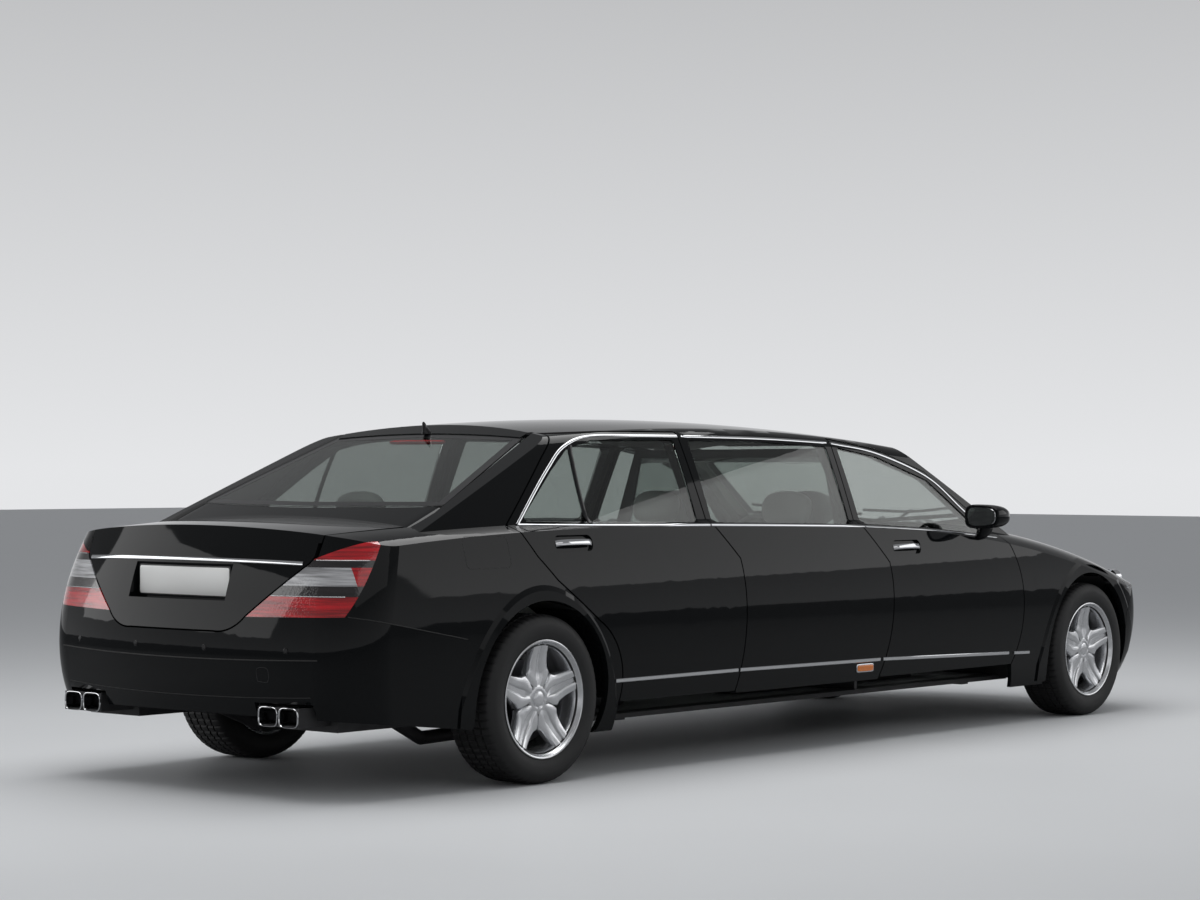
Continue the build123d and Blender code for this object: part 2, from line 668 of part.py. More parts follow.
def boot_lid():
    top = CAP & plan_prism(lid_plan(0), 900, 1300)
    back = (LOWER & rear_prism(LID_BACK, TAIL_X - 10, -2940)) - FULL_LOWER_IN
    panel = largest(top + back)
    panel = panel - block(TAIL_X - 50, PLATE_FACE_X, -280, 280, 760, 900)
    panel = with_hinge_slots(panel, LID_HINGE_X, LID_FRONT_X)
    add("boot_lid", largest(panel))


PLATE_FACE_X = -3090          # face that the rear plate lies on


# ---------------------------------------------------------------- running gear
def wheel_place(x, side):
    return Plane(origin=(x, side * TRACK_HALF, HUB_HEIGHT), x_dir=(1, 0, 0), z_dir=(0, side, 0))


def tyre_form():
    half = TYRE_WIDTH / 2
    tread = 100
    bead = RIM_WIDTH / 2 - 14.6
    inner = RIM_RADIUS - 24
    face = outline((inner, -bead), (RIM_RADIUS - 8, -bead - 2), (RIM_RADIUS + 6, -half + 10),
                   (RIM_RADIUS + 52, -half - 0, TYRE_RADIUS - 24, -half + 8), (TYRE_RADIUS - 5, -tread - 2, TYRE_RADIUS, -tread + 20),
                   (TYRE_RADIUS, tread - 20), (TYRE_RADIUS - 5, tread + 2, TYRE_RADIUS - 24, half - 8),
                   (RIM_RADIUS + 52, half, RIM_RADIUS + 6, half - 10), (RIM_RADIUS - 8, bead + 2), (inner, bead))
    return revolve(Plane.XZ * face, axis=Axis.Z)


def rim_form():
    half = RIM_WIDTH / 2
    lip = RIM_RADIUS - 8.4
    face = outline((RIM_RADIUS - 24.4, -half + 14), (lip, -half + 10), (RIM_RADIUS, -half), (RIM_RADIUS - 16, -half),
                   (RIM_RADIUS - 40, -half + 30), (RIM_RADIUS - 40, half - 30), (RIM_RADIUS - 16, half),
                   (RIM_RADIUS, half), (lip, half - 10), (RIM_RADIUS - 24.4, half - 14))
    barrel = revolve(Plane.XZ * face, axis=Axis.Z)
    hub = Pos(0, 0, half - 62) * Cylinder(78, 56)
    spoke = outline((30, -38), (RIM_RADIUS - 38, -56), (RIM_RADIUS - 38, 56), (30, 38))
    arm = Pos(0, 0, half - 62) * extrude(spoke, amount=42)
    groove = Pos(150, 0, half - 20) * Box(150, 22, 16)
    wheel = barrel + hub
    for i in range(5):
        wheel = wheel + Rot(0, 0, 72 * i + 90) * (arm - groove)
    disc = Pos(0, 0, half - 112) * Cylinder(178, 32)
    bell = Pos(0, 0, half - 98) * Cylinder(90, 60)
    wheel = wheel + bell + disc
    return wheel - Pos(0, 0, half - 110) * Cylinder(HUB_PIN + 0.3, 90)


HUB_PIN = 30                  # stub axle


def wheels():
    tyre, rim = tyre_form(), rim_form()
    for end, x in (("front", FRONT_AXLE_X), ("rear", REAR_AXLE_X)):
        for name, side in (("right", -1), ("left", 1)):
            place = wheel_place(x, side)
            add(f"{end}_tyre_{name}", place * tyre)
            add(f"{end}_rim_{name}", place * rim)


KINGPIN_Y = 668
BALL_LOW = 225
BALL_HIGH = 490


def stub_axle(x):
    inner = TRACK_HALF + RIM_WIDTH / 2 - 110
    return drum(x, -(inner + 35 + 680) / 2, HUB_HEIGHT, HUB_PIN, inner + 35 - 680)


def knuckles():
    x = FRONT_AXLE_X
    body = stub_axle(x)
    body = body + block(x - 45, x + 45, -700, -655, BALL_LOW + 20, BALL_HIGH - 20)
    body = body + block(x - 150, x - 40, -690, -662, 305, 381)
    caliper = block(x - 215, x - 120, -826, -688, 270, 420) - drum(x, -804, HUB_HEIGHT, 184, 44) - drum(x, -900, HUB_HEIGHT, 150, 330)
    caliper = caliper & drum(x, -760, HUB_HEIGHT, 196, 160)
    body = body + caliper
    body = largest(body)
    add("front_knuckle_right", body)
    add("front_knuckle_left", other_side(body))


def front_suspension():
    x = FRONT_AXLE_X
    pieces = block(x - 190, x + 190, -360, 360, 190, 230)
    for side in (-1, 1):
        for dx in (-150, 150):
            pieces = pieces + rod((x + dx, side * 340, 210), (x, side * KINGPIN_Y, 215), 16)
            pieces = pieces + rod((x + dx * 0.6, side * 440, 520), (x, side * KINGPIN_Y, 500), 12)
        pieces = pieces + block(x - 110, x + 110, side * 440 - 20, side * 440 + 20, 225, 559.7)
        pieces = pieces + block(x - 110, x + 110, min(side * 340, side * 440), max(side * 340, side * 440), 190, 230)
        pieces = pieces + rod((x, side * KINGPIN_Y, 200), (x, side * KINGPIN_Y, BALL_LOW + 19.7), 20)
        pieces = pieces + rod((x, side * KINGPIN_Y, BALL_HIGH - 19.7), (x, side * KINGPIN_Y, 512), 20)
    add("front_suspension", largest(pieces))


def rear_suspension():
    x = REAR_AXLE_X
    pieces = block(x - 220, x + 220, -330, 330, 240, 280) - block(x + 130, x + 230, -60, 60, 200, 300)
    pieces = pieces + block(x - 130, x + 130, -120, 120, 250, 400)
    pieces = pieces + drum(x, 0, HUB_HEIGHT, 28, 2 * 660)
    for side in (-1, 1):
        upright = block(x - 50, x + 50, side * 672 - 18, side * 672 + 18, 210, 500)
        axle = stub_axle(x)
        pieces = pieces + upright + (axle if side < 0 else other_side(axle))
        for dx in (-180, 180):
            pieces = pieces + rod((x + dx, side * 310, 260), (x, side * 670, 225), 15)
            pieces = pieces + rod((x + dx * 0.7, side * 310, 420), (x, side * 670, 490), 13)
        pieces = pieces + block(x - 200, x + 200, side * 310 - 20, side * 310 + 20, 250, 440)
    add("rear_suspension", largest(pieces))


def driveline():
    engine = block(1960, 2700, -300, 300, 262, 750)
    gearbox = block(GEARBOX_X + 30, 1970, -150, 150, 200, 396)
    shaft = rod((GEARBOX_X + 40, 0, 262), (REAR_AXLE_X + 130.3, 0, 282), 30)
    add("driveline", largest(engine + gearbox + shaft))


def exhaust():
    for_side = []
    for side in (-1, 1):
        pipe = rod((1900, side * 230, 186.7), (-1500, side * 230, 186.7), 28)
        pipe = pipe + rod((-1500, side * 230, 186.7), (-1760, side * 400, 178), 28)
        pipe = pipe + rod((-1760, side * 400, 178), (-2240, side * 470, 178), 28)
        pipe = pipe + rod((-2240, side * 470, 178), (-2520, side * 520, 300), 28)
        box = block(-2960, -2480, side * 570 - 150, side * 570 + 150, 262, 392)
        tip = block(-3128, -2950, side * 570 - 112, side * 570 + 112, 288, 362)
        tip = tip - block(-3140, -3000, side * 570 - 106, side * 570 - 4, 294, 356)
        tip = tip - block(-3140, -3000, side * 570 + 4, side * 570 + 106, 294, 356)
        for_side += solids_of(pipe + box + tip)
    add("exhaust", Compound(for_side))


# ---------------------------------------------------------------- floor and interior
FLOOR_Z = 235                 # top of the floor plate
FLOOR_THICK = 20
TUNNEL_HALF = 180
TUNNEL_Z = 330                # top of the tunnel
GEARBOX_X = 1300              # the tunnel is taller ahead of this
GEARBOX_COVER_Z = 430
JACK_X = (1400, -1300)
JACK_Y = 720
JACK_HALF = 30                # half the side of a jacking pad
JACK_PAD = 10                 # depth of a jacking pad below the floor plate


def floor():
    plate = block(-1700, 1760, -770, 770, FLOOR_Z - FLOOR_THICK, FLOOR_Z)
    plate = plate - block(-1700, -1500, -770, -600, 0, 500) - block(-1700, -1500, 600, 770, 0, 500)
    tunnel = block(-1700, 1760, -TUNNEL_HALF, TUNNEL_HALF, FLOOR_Z - FLOOR_THICK, TUNNEL_Z)
    kick = block(-1700, -1680, -560, 560, FLOOR_Z - FLOOR_THICK, 520)
    cover = block(GEARBOX_X, 1760, -TUNNEL_HALF, TUNNEL_HALF, FLOOR_Z - FLOOR_THICK, GEARBOX_COVER_Z)
    inside = block(-1800, 1800, -TUNNEL_HALF + 14, TUNNEL_HALF - 14, 100, TUNNEL_Z - 14)
    inside = inside + block(GEARBOX_X + 14, 1800, -TUNNEL_HALF + 14, TUNNEL_HALF - 14, 100, GEARBOX_COVER_Z - 14)
    pieces = plate + tunnel + kick + cover - inside
    sill_region = outline((-1487, ROCKER_Z), (-1487, SILL_Z - SHUT_GAP), (1586, SILL_Z - SHUT_GAP), (1636, ROCKER_Z))
    sill = largest((LOWER_RIGHT & side_prism(sill_region)) - FULL_LOWER_IN)
    pieces = pieces + sill + other_side(sill)
    pieces = pieces + block(-2600, -1680, -560, 560, 500, 520)
    pieces = pieces + block(-2620, -2600, -560, 560, 430, 520)
    pieces = pieces + block(-3060, -2600, -560, 560, 425, 445)
    pieces = pieces + (block(1740, 1760, -700, 700, FLOOR_Z - FLOOR_THICK, 850) - inside)
    for side in (-1, 1):
        post = block(1690, 1750, min(side * 700, side * 826), max(side * 700, side * 826), FLOOR_Z - FLOOR_THICK + 10, 800)
        pieces = pieces + post
        rail = block(1740, 2960, side * 450 - 45, side * 450 + 45, 560, 640)
        pieces = pieces + rail
        rear_rail = block(-3100, -2500, side * 520 - 40, side * 520 + 40, 440, 500)
        pieces = pieces + rear_rail
        for x in JACK_X:
            y = side * JACK_Y
            pad = block(x - JACK_HALF, x + JACK_HALF, y - JACK_HALF, y + JACK_HALF,
                        FLOOR_Z - FLOOR_THICK - JACK_PAD, FLOOR_Z - FLOOR_THICK)
            pieces = pieces + pad
    pieces = pieces + block(2960, 3000, -500, 500, 450, 640)
    brackets = hinge_brackets(FRONT_HINGE_X, 1700, FRONT_STRAP)
    for bracket in brackets:
        pieces = pieces + bracket + other_side(bracket)
    add("floor", largest(pieces))


def bulkhead():
    shelf = block(-2430, -1830, -640, 640, 930, 950)
    panel = block(-1850, -1830, -640, 640, 520.3, 950)
    form = shelf + panel
    for arm in hinge_arms(LID_HINGE_X, -2410, LID_ARM_DROP):
        form = form + arm
    for side in (-1, 1):
        y = side * LID_HINGE_Y
        form = form + block(-2430, -2410, y - 8, y + 8, 940, hinge_z(LID_HINGE_X) - LID_ARM_DROP + 14)
    add("rear_bulkhead", largest(form))


def dashboard():
    box = block(1330, 1560, -740, 740, 640, 900)
    box = fillet(box.edges().filter_by(Axis.Y), 50)
    console = block(700, 1340, -120, 120, TUNNEL_Z + 0.3, 640)
    column = rod((1345, 380, 801), (1150 + 15.3 * math.cos(math.radians(16)), 380, 855 - 15.3 * math.sin(math.radians(16))), 24)
    add("dashboard", largest(box + console + column + block(1540, 1739.7, -600, 600, 700, 860)))


def steering_wheel():
    plane = Plane(origin=(1150, 380, 855), z_dir=(-math.cos(math.radians(16)), 0, math.sin(math.radians(16))))
    ring = Torus(185, 15)
    spokes = Box(350, 30, 14) + Pos(0, -90, 0) * Box(34, 180, 14) + Cylinder(55, 30)
    add("steering_wheel", plane * (ring + spokes))


def seat(x, y, facing, width):
    """One seat: cushion, back and headrest, the back on the side away from the way it faces."""
    cushion = block(-250, 260, -width / 2, width / 2, 345, 505)
    cushion = fillet(cushion.edges().filter_by(Axis.Y), 40)
    back = block(-330, -210, -width / 2, width / 2, 380, 1010)
    back = Pos(-250, 0, 380) * Rot(0, -14, 0) * Pos(250, 0, -380) * back
    head = block(-330, -240, -140, 140, 1030, 1200)
    head = Pos(-250, 0, 380) * Rot(0, -14, 0) * Pos(250, 0, -380) * head
    stalk = Pos(-250, 0, 380) * Rot(0, -14, 0) * Pos(250, 0, -380) * block(-290, -276, -50, 50, 1000, 1040)
    base = block(-190, 220, -width / 2 + 90, width / 2 - 40, FLOOR_Z + 0.3, 352)
    form = cushion + back + head + stalk + base
    if facing < 0:
        form = form.rotate(Axis.Z, 180)
    return Pos(x, y, 0) * largest(form)


def seats():
    pieces = []
    for x, facing, ys in ((1010, 1, (-400, 400)), (-90, -1, (-400, 400)), (-1240, 1, (-400, 400))):
        for y in ys:
            pieces.append(seat(x, y, facing, 500))
    add("seats", Compound([s for p in pieces for s in solids_of(p)]))


def partition():
    y1 = 750
    face = outline((-y1, FLOOR_Z + 0.3), (y1, FLOOR_Z + 0.3), (y1, 900), (590, 1372), (-590, 1372), (-y1, 900))
    hole = outline((-640, 960), (640, 960), (560, 1330), (-560, 1330))
    wall = rear_prism(face, 440, 460) - rear_prism(hole, 400, 500)
    add("partition", largest(wall - block(400, 500, -TUNNEL_HALF - 0.3, TUNNEL_HALF + 0.3, 0, TUNNEL_Z + 0.3)))


def side_glass():
    add("middle_glass", both(pane(WINDOW_MIDDLE, WINDOW_CORNER)))
    for name, window in (("front", WINDOW_FRONT), ("rear", WINDOW_REAR)):
        glass = pane(window, WINDOW_CORNER)
        add(f"{name}_door_glass_right", glass)
        add(f"{name}_door_glass_left", other_side(glass))


HANDLES = {"front": (652, 906), "rear": (-1760, 968)}    # middle of each handle pocket: x, z
HANDLE_LENGTH = 236
HANDLE_HEIGHT = 66
HANDLE_DEPTH = 14


def handle_pocket(x, z):
    half, rise = HANDLE_LENGTH / 2, HANDLE_HEIGHT / 2
    box = outline((x - half, z - rise), (x + half, z - rise), (x + half, z + rise), (x - half, z + rise))
    return rounded(box, 0, rise - 4)


def doors():
    for name, region, window, hinge_x in (("front", FRONT_DOOR, WINDOW_FRONT, FRONT_HINGE_X),
                                          ("rear", REAR_DOOR, WINDOW_REAR, REAR_HINGE_X)):
        door = hinged_door(region, window, hinge_x)
        door = largest(door - (side_prism(handle_pocket(*HANDLES[name])) - lower_body(HANDLE_DEPTH, TOP_WALL)))
        add(f"{name}_door_right", door)
        add(f"{name}_door_left", other_side(door))


def mirrors():
    head = Pos(1255, -985, 1045) * Box(150, 200, 118)
    head = fillet(head.edges(), 36)
    arm = block(1290, 1370, -935, -862, 922, 962) + block(1270, 1345, -955, -905, 930, 1004)
    body = largest((head + arm) - NODES["front_door_right"] - NODES["front_door_glass_right"])
    add("mirror_right", body)
    add("mirror_left", other_side(body))


BUILD = (doors, side_glass, fenders, quarters, middle_panels, roof, screens, cowl, front_bumper, rear_bumper, lamps,
         grille, hood, boot_lid, wheels, knuckles, front_suspension, rear_suspension, driveline, exhaust, floor,
         bulkhead, dashboard, steering_wheel, seats, partition, mirrors)

if __name__ == "__main__":
    for make in BUILD:
        make()
    os.makedirs(PARTS, exist_ok=True)
    for name, shape in NODES.items():
        export_step(shape, f"{PARTS}/{name}.step")
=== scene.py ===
"""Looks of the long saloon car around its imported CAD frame."""
import math

import bmesh
import bpy
from mathutils import Matrix, Vector
from mathutils.bvhtree import BVHTree


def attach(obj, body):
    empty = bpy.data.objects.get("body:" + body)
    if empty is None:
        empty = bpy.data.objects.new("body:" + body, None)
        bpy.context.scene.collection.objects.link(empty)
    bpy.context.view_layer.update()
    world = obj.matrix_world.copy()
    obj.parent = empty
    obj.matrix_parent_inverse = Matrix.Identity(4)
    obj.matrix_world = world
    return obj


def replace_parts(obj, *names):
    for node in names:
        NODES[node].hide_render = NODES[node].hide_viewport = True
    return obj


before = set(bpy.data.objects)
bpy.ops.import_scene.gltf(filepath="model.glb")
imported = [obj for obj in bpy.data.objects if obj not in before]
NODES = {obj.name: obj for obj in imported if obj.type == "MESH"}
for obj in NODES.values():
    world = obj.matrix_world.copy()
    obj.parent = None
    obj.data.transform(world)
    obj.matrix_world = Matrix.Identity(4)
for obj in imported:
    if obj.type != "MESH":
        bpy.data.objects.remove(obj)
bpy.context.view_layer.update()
SIDES = (("right", -1), ("left", 1))
FRONT_AXLE, REAR_AXLE, HUB_Z, TRACK = 2.333, -1.982, 0.343, 0.800


# ---------- camera, stage and light
def look(location, yaw, pitch, roll, lens):
    """Camera at a location that looks along yaw and pitch, in degrees, rolled about its own line of sight."""
    data = bpy.data.cameras.new("camera")
    data.lens, data.sensor_width, data.clip_end = lens, 36, 200
    cam = bpy.data.objects.new("camera", data)
    bpy.context.scene.collection.objects.link(cam)
    yaw, pitch, roll = (math.radians(a) for a in (yaw, pitch, roll))
    ahead = Vector((math.cos(pitch) * math.cos(yaw), math.cos(pitch) * math.sin(yaw), math.sin(pitch)))
    right = Vector((math.sin(yaw), -math.cos(yaw), 0))
    up = right.cross(ahead)
    right, up = (right * math.cos(roll) + up * math.sin(roll),
                 up * math.cos(roll) - right * math.sin(roll))
    cam.matrix_world = Matrix((
        (right.x, up.x, -ahead.x, location[0]), (right.y, up.y, -ahead.y, location[1]),
        (right.z, up.z, -ahead.z, location[2]), (0, 0, 0, 1)))
    bpy.context.scene.camera = cam


look((-10.680, -8.460, 1.274), 39.84, 0.374, 0.143, 85.57)


def area_light(name, place, target, size, power):
    data = bpy.data.lights.new(name, "AREA")
    data.shape, data.size, data.size_y, data.energy = "RECTANGLE", *size, power
    lamp = bpy.data.objects.new(name, data)
    bpy.context.scene.collection.objects.link(lamp)
    lamp.location = place
    lamp.rotation_euler = (Vector(target) - Vector(place)).to_track_quat("-Z", "Y").to_euler()


area_light("overhead", (-0.5, 0.0, 5.6), (-0.5, 0, 0), (10.5, 4.6), 340)
area_light("behind_left", (-8.5, 6.5, 3.4), (-1.5, 0, 0.8), (8.0, 4.0), 170)
area_light("front_right", (8.5, -6.5, 4.0), (0.5, 0, 0.6), (8.0, 4.0), 110)
area_light("camera_side", (-3.0, -11.0, 6.5), (-0.5, 0, 0.5), (12.0, 4.0), 80)

scene = bpy.context.scene
scene.view_settings.view_transform = "Standard"


# ---------- materials
def feed(nt, inputs, values):
    """Sets or links inputs by name, with _ for a space in the names."""
    for key, value in values.items():
        socket = inputs[key.replace("_", " ")] if isinstance(key, str) else inputs[key]
        if isinstance(value, bpy.types.NodeSocket):
            nt.links.new(value, socket)
        else:
            socket.default_value = value


def node(nt, kind, **values):
    """New shader node whose inputs get the values or sockets given."""
    made = nt.nodes.new("ShaderNode" + kind)
    feed(nt, made.inputs, values)
    return made


def calc(nt, operation, *terms):
    """Result of a Math node on numbers or sockets."""
    made = node(nt, "Math")
    made.operation = operation
    feed(nt, made.inputs, dict(enumerate(terms)))
    return made.outputs[0]


def mixed(nt, factor, a, b):
    """Colour between a and b, each a colour or a socket."""
    mix = node(nt, "Mix")
    mix.data_type = "RGBA"
    a, b = ((*color, 1) if isinstance(color, tuple) else color for color in (a, b))
    feed(nt, mix.inputs, {"Factor": factor, "A": a, "B": b})
    return mix.outputs["Result"]


def scaled(nt, color, factor):
    """Colour socket times a value socket."""
    product = node(nt, "VectorMath")
    product.operation = "SCALE"
    feed(nt, product.inputs, {0: color, "Scale": factor})
    return product.outputs["Vector"]


def either(nt, factor, first, second):
    """The material shows one shader where the factor is 0 and the other where it is 1."""
    mix = node(nt, "MixShader")
    feed(nt, mix.inputs, {0: factor, 1: first.outputs["BSDF"], 2: second.outputs["BSDF"]})
    feed(nt, nt.nodes["Material Output"].inputs, {"Surface": mix.outputs["Shader"]})


def axis_of(nt, vector, axis):
    """One component of a vector socket."""
    return node(nt, "SeparateXYZ", Vector=vector).outputs[axis]


MATS = {}


def material(name, color, rough=0.5, metal=0.0, vary=0.15, scale=6.0, grain=0.0, grain_scale=200.0,
             stretch=(1, 1, 1), **sockets):
    """Principled material with noise in its colour and roughness. grain is the strength of a fine bump, of
    cells if it is positive and of noise if it is negative."""
    mat = MATS[name] = bpy.data.materials.new(name)
    mat.use_nodes = True
    nt = mat.node_tree
    place = node(nt, "TexCoord").outputs["Object"]
    place = node(nt, "Mapping", Scale=stretch, Vector=place).outputs["Vector"]
    noise = node(nt, "TexNoise", Scale=scale, Detail=4, Vector=place).outputs["Fac"]
    dark, light = (tuple(min(1, c * share) for c in color) for share in (1 - vary, 1 + vary))
    span = node(nt, "MapRange", To_Min=rough * 0.85, To_Max=min(1.0, rough * 1.15), Value=noise)
    values = {"Metallic": metal, "Base_Color": mixed(nt, noise, dark, light),
              "Roughness": span.outputs["Result"]}
    if grain:
        fine = node(nt, "TexVoronoi" if grain > 0 else "TexNoise", Scale=grain_scale, Vector=place)
        bump = node(nt, "Bump", Strength=abs(grain), Distance=0.001, Height=fine.outputs[0])
        values["Normal"] = bump.outputs["Normal"]
    feed(nt, nt.nodes["Principled BSDF"].inputs, {**values, **sockets})
    return mat


def glass(name, tint, ior=1.45):
    """Tinted glass that lets lamp light through as a clear tint."""
    nt = material(name, tint, rough=0.0, vary=0.02, scale=2, Transmission_Weight=1.0, IOR=ior).node_tree
    clear = node(nt, "BsdfTransparent", Color=(*tint, 1))
    either(nt, node(nt, "LightPath").outputs["Is Shadow Ray"], nt.nodes["Principled BSDF"], clear)


def banded(name, bands, ahead_x, ahead_bands, **sockets):
    """Glossy ribbed plastic in bands of (from this height, colour), with other bands ahead of ahead_x; its
    streaks, lighter and darker along the ribs, are painted highlight and painted shade.
    """
    nt = material(name, (0.5, 0.5, 0.5), rough=0.08, **sockets).node_tree
    place = next(n for n in nt.nodes if n.type == "TEX_COORD").outputs["Object"]
    low, high = bands[0][0], bands[-1][0] + 0.1
    height = node(nt, "MapRange", From_Min=low, From_Max=high,
                  Value=axis_of(nt, place, "Z")).outputs["Result"]

    def ramp_of(table):
        ramp = node(nt, "ValToRGB", Fac=height)
        ramp.color_ramp.interpolation = "CONSTANT"
        for i, (start, color) in enumerate(table):
            at = (start - low) / (high - low)
            stop = ramp.color_ramp.elements[0] if i == 0 else ramp.color_ramp.elements.new(at)
            stop.position, stop.color = at, (*color, 1)
        ramp.color_ramp.elements.remove(ramp.color_ramp.elements[-1])
        return ramp.outputs["Color"]

    is_ahead = calc(nt, "GREATER_THAN", axis_of(nt, place, "X"), ahead_x)
    color = mixed(nt, is_ahead, ramp_of(bands), ramp_of(ahead_bands))
    # lighter and darker streaks along the lamp's ribs, multiplied into the band colours: painted highlight
    # and painted shade
    place = node(nt, "Mapping", Scale=(0.05, 0.05, 1), Vector=place).outputs["Vector"]
    glint_streaks = node(nt, "TexNoise", Scale=95, Vector=place).outputs["Fac"]
    tint = node(nt, "MapRange", From_Min=0.35, From_Max=0.65, To_Min=0.45, To_Max=1.25, Value=glint_streaks)
    glinted_color = scaled(nt, color, tint.outputs["Result"])
    feed(nt, nt.nodes["Principled BSDF"].inputs, {"Base_Color": glinted_color})


RED, SMOKE, CLEAR = (0.40, 0.003, 0.008), (0.010, 0.008, 0.009), (0.42, 0.42, 0.43)
LAMP_BANDS = [(0.60, RED), (0.785, SMOKE), (0.822, CLEAR), (0.893, SMOKE), (0.922, RED), (1.2, RED)]
OUTER_BANDS = [(z, RED if color == CLEAR else color) for z, color in LAMP_BANDS]
LAMP_SIDE_X = -2.975          # the tail lamps have no clear band ahead of this
material("paint", (0.0045, 0.005, 0.0055), rough=0.4, vary=0.3, scale=900, Specular_IOR_Level=0.0,
         Coat_Weight=1.0, Coat_Roughness=0.035, Coat_IOR=1.27)
glass("side_glass", (0.52, 0.56, 0.54))
glass("rear_glass", (0.46, 0.50, 0.48))
glass("front_glass", (0.80, 0.84, 0.82))
glass("clear", (0.95, 0.96, 0.97), ior=1.12)
material("chrome", (0.72, 0.73, 0.75), rough=0.06, metal=1.0, vary=0.03)
material("satin_chrome", (0.55, 0.56, 0.57), rough=0.22, metal=1.0, vary=0.05)
material("alloy", (0.74, 0.75, 0.77), rough=0.24, metal=0.9, vary=0.04, scale=30, Coat_Weight=0.4,
         Coat_Roughness=0.08)
material("reflector", (0.26, 0.27, 0.28), rough=0.16, metal=1.0, vary=0.1)
material("steel", (0.30, 0.30, 0.31), rough=0.35, metal=1.0, vary=0.2, scale=12, grain=-0.1, grain_scale=90,
         stretch=(1, 1, 8))
material("iron", (0.05, 0.05, 0.052), rough=0.6, metal=0.6, vary=0.4, scale=14, grain=-0.4, grain_scale=260)
material("under", (0.014, 0.014, 0.015), rough=0.7, vary=0.35, scale=8, grain=-0.5, grain_scale=180)
material("plastic", (0.012, 0.012, 0.013), rough=0.45, vary=0.2, grain=0.15, grain_scale=900)
material("gloss_black", (0.006, 0.006, 0.007), rough=0.3, vary=0.1, Specular_IOR_Level=0.1, Coat_Weight=1.0,
         Coat_Roughness=0.05, Coat_IOR=1.3)
material("rubber", (0.010, 0.010, 0.010), rough=0.6, vary=0.2, grain=-0.2, grain_scale=400)
material("tyre", (0.012, 0.012, 0.0125), rough=0.62, vary=0.25, scale=25, grain=-0.25, grain_scale=500)
material("leather", (0.46, 0.465, 0.455), rough=0.48, vary=0.1, scale=5, grain=0.35, grain_scale=420)
material("dark_leather", (0.03, 0.03, 0.032), rough=0.45, grain=0.35, grain_scale=420)
material("carpet", (0.05, 0.05, 0.052), rough=0.95, vary=0.4, scale=300, grain=-0.8, grain_scale=900)
material("wood", (0.09, 0.035, 0.014), rough=0.25, vary=0.6, scale=5, stretch=(1, 9, 9), Coat_Weight=1.0)
material("mesh", (0.008, 0.008, 0.008), rough=0.6, vary=0.5, scale=220, grain=-1.0, grain_scale=260)
material("red", (0.42, 0.008, 0.012), rough=0.1, vary=0.15, scale=40, grain=0.3, grain_scale=140,
         Coat_Weight=1.0)
material("white", (0.80, 0.80, 0.78), rough=0.35, vary=0.03)
material("amber", (0.62, 0.16, 0.012), rough=0.15, vary=0.2, scale=60, grain=0.3, grain_scale=160,
         Coat_Weight=1.0)
banded("tail", LAMP_BANDS, LAMP_SIDE_X, OUTER_BANDS, grain=0.35, grain_scale=120, Coat_Weight=1.0)


def lined(name, lining, axis):
    """New paint with a lining inside, told apart by which way the surface faces in the part's own frame. axis
    is "Z" for a roof, whose inside faces down, or "Y" for a side, whose inside faces the middle plane."""
    mat = MATS[name] = MATS["paint"].copy()
    mat.name = name
    nt = mat.node_tree
    coords = node(nt, "TexCoord")
    weave = node(nt, "TexNoise", Scale=350, Vector=coords.outputs["Object"]).outputs["Fac"]
    dark, light = (tuple(c * share for c in lining) for share in (0.85, 1.15))
    inner = node(nt, "BsdfPrincipled", Roughness=0.8, Base_Color=mixed(nt, weave, dark, light))
    way = axis_of(nt, coords.outputs["Normal"], axis)
    if axis == "Y":
        side = calc(nt, "SIGN", axis_of(nt, coords.outputs["Object"], "Y"))
        way = calc(nt, "MULTIPLY", side, way)
    either(nt, calc(nt, "LESS_THAN", way, -0.25), nt.nodes["Principled BSDF"], inner)


lined("roof_paint", (0.30, 0.30, 0.29), "Z")
lined("side_paint", (0.10, 0.10, 0.10), "Y")

LOOKS = {"floor": "under", "roof": "roof_paint", "quarters": "side_paint", "middle_panels": "side_paint",
         "grille": "chrome", "headlamps": "clear", "tail_lamps": "tail", "windscreen": "front_glass",
         "backlight": "rear_glass", "middle_glass": "side_glass", "cowl": "plastic",
         "front_suspension": "iron", "rear_suspension": "iron", "driveline": "iron", "exhaust": "iron",
         "dashboard": "dark_leather", "seats": "leather", "partition": "dark_leather",
         "rear_bulkhead": "dark_leather", "steering_wheel": "dark_leather", }
LOOKS_BY_WORD = {"glass": "side_glass", "tyre": "tyre", "rim": "alloy", "knuckle": "iron",
                 "door": "side_paint"}
for name, obj in NODES.items():
    looks = [LOOKS[name]] if name in LOOKS else [mat for word, mat in LOOKS_BY_WORD.items() if word in name]
    obj.data.materials.clear()
    obj.data.materials.append(MATS[(looks + ["paint"])[0]])


def darker_in_reflections(nt, share):
    """Value that is 1 for every ray except the glossy ones, which get the given share."""
    return calc(nt, "MULTIPLY_ADD", node(nt, "LightPath").outputs["Is Glossy Ray"], share - 1, 1)


def stage_material():
    """Pale floor that the paint mirrors as a darker one, like the road beside a black car."""
    mat = material("stage", (0.62, 0.63, 0.64), rough=0.55, vary=0.02, scale=0.6)
    nt = mat.node_tree
    inputs = nt.nodes["Principled BSDF"].inputs
    color = scaled(nt, inputs["Base Color"].links[0].from_socket, darker_in_reflections(nt, 0.4))
    feed(nt, inputs, {"Base_Color": color})
    return mat


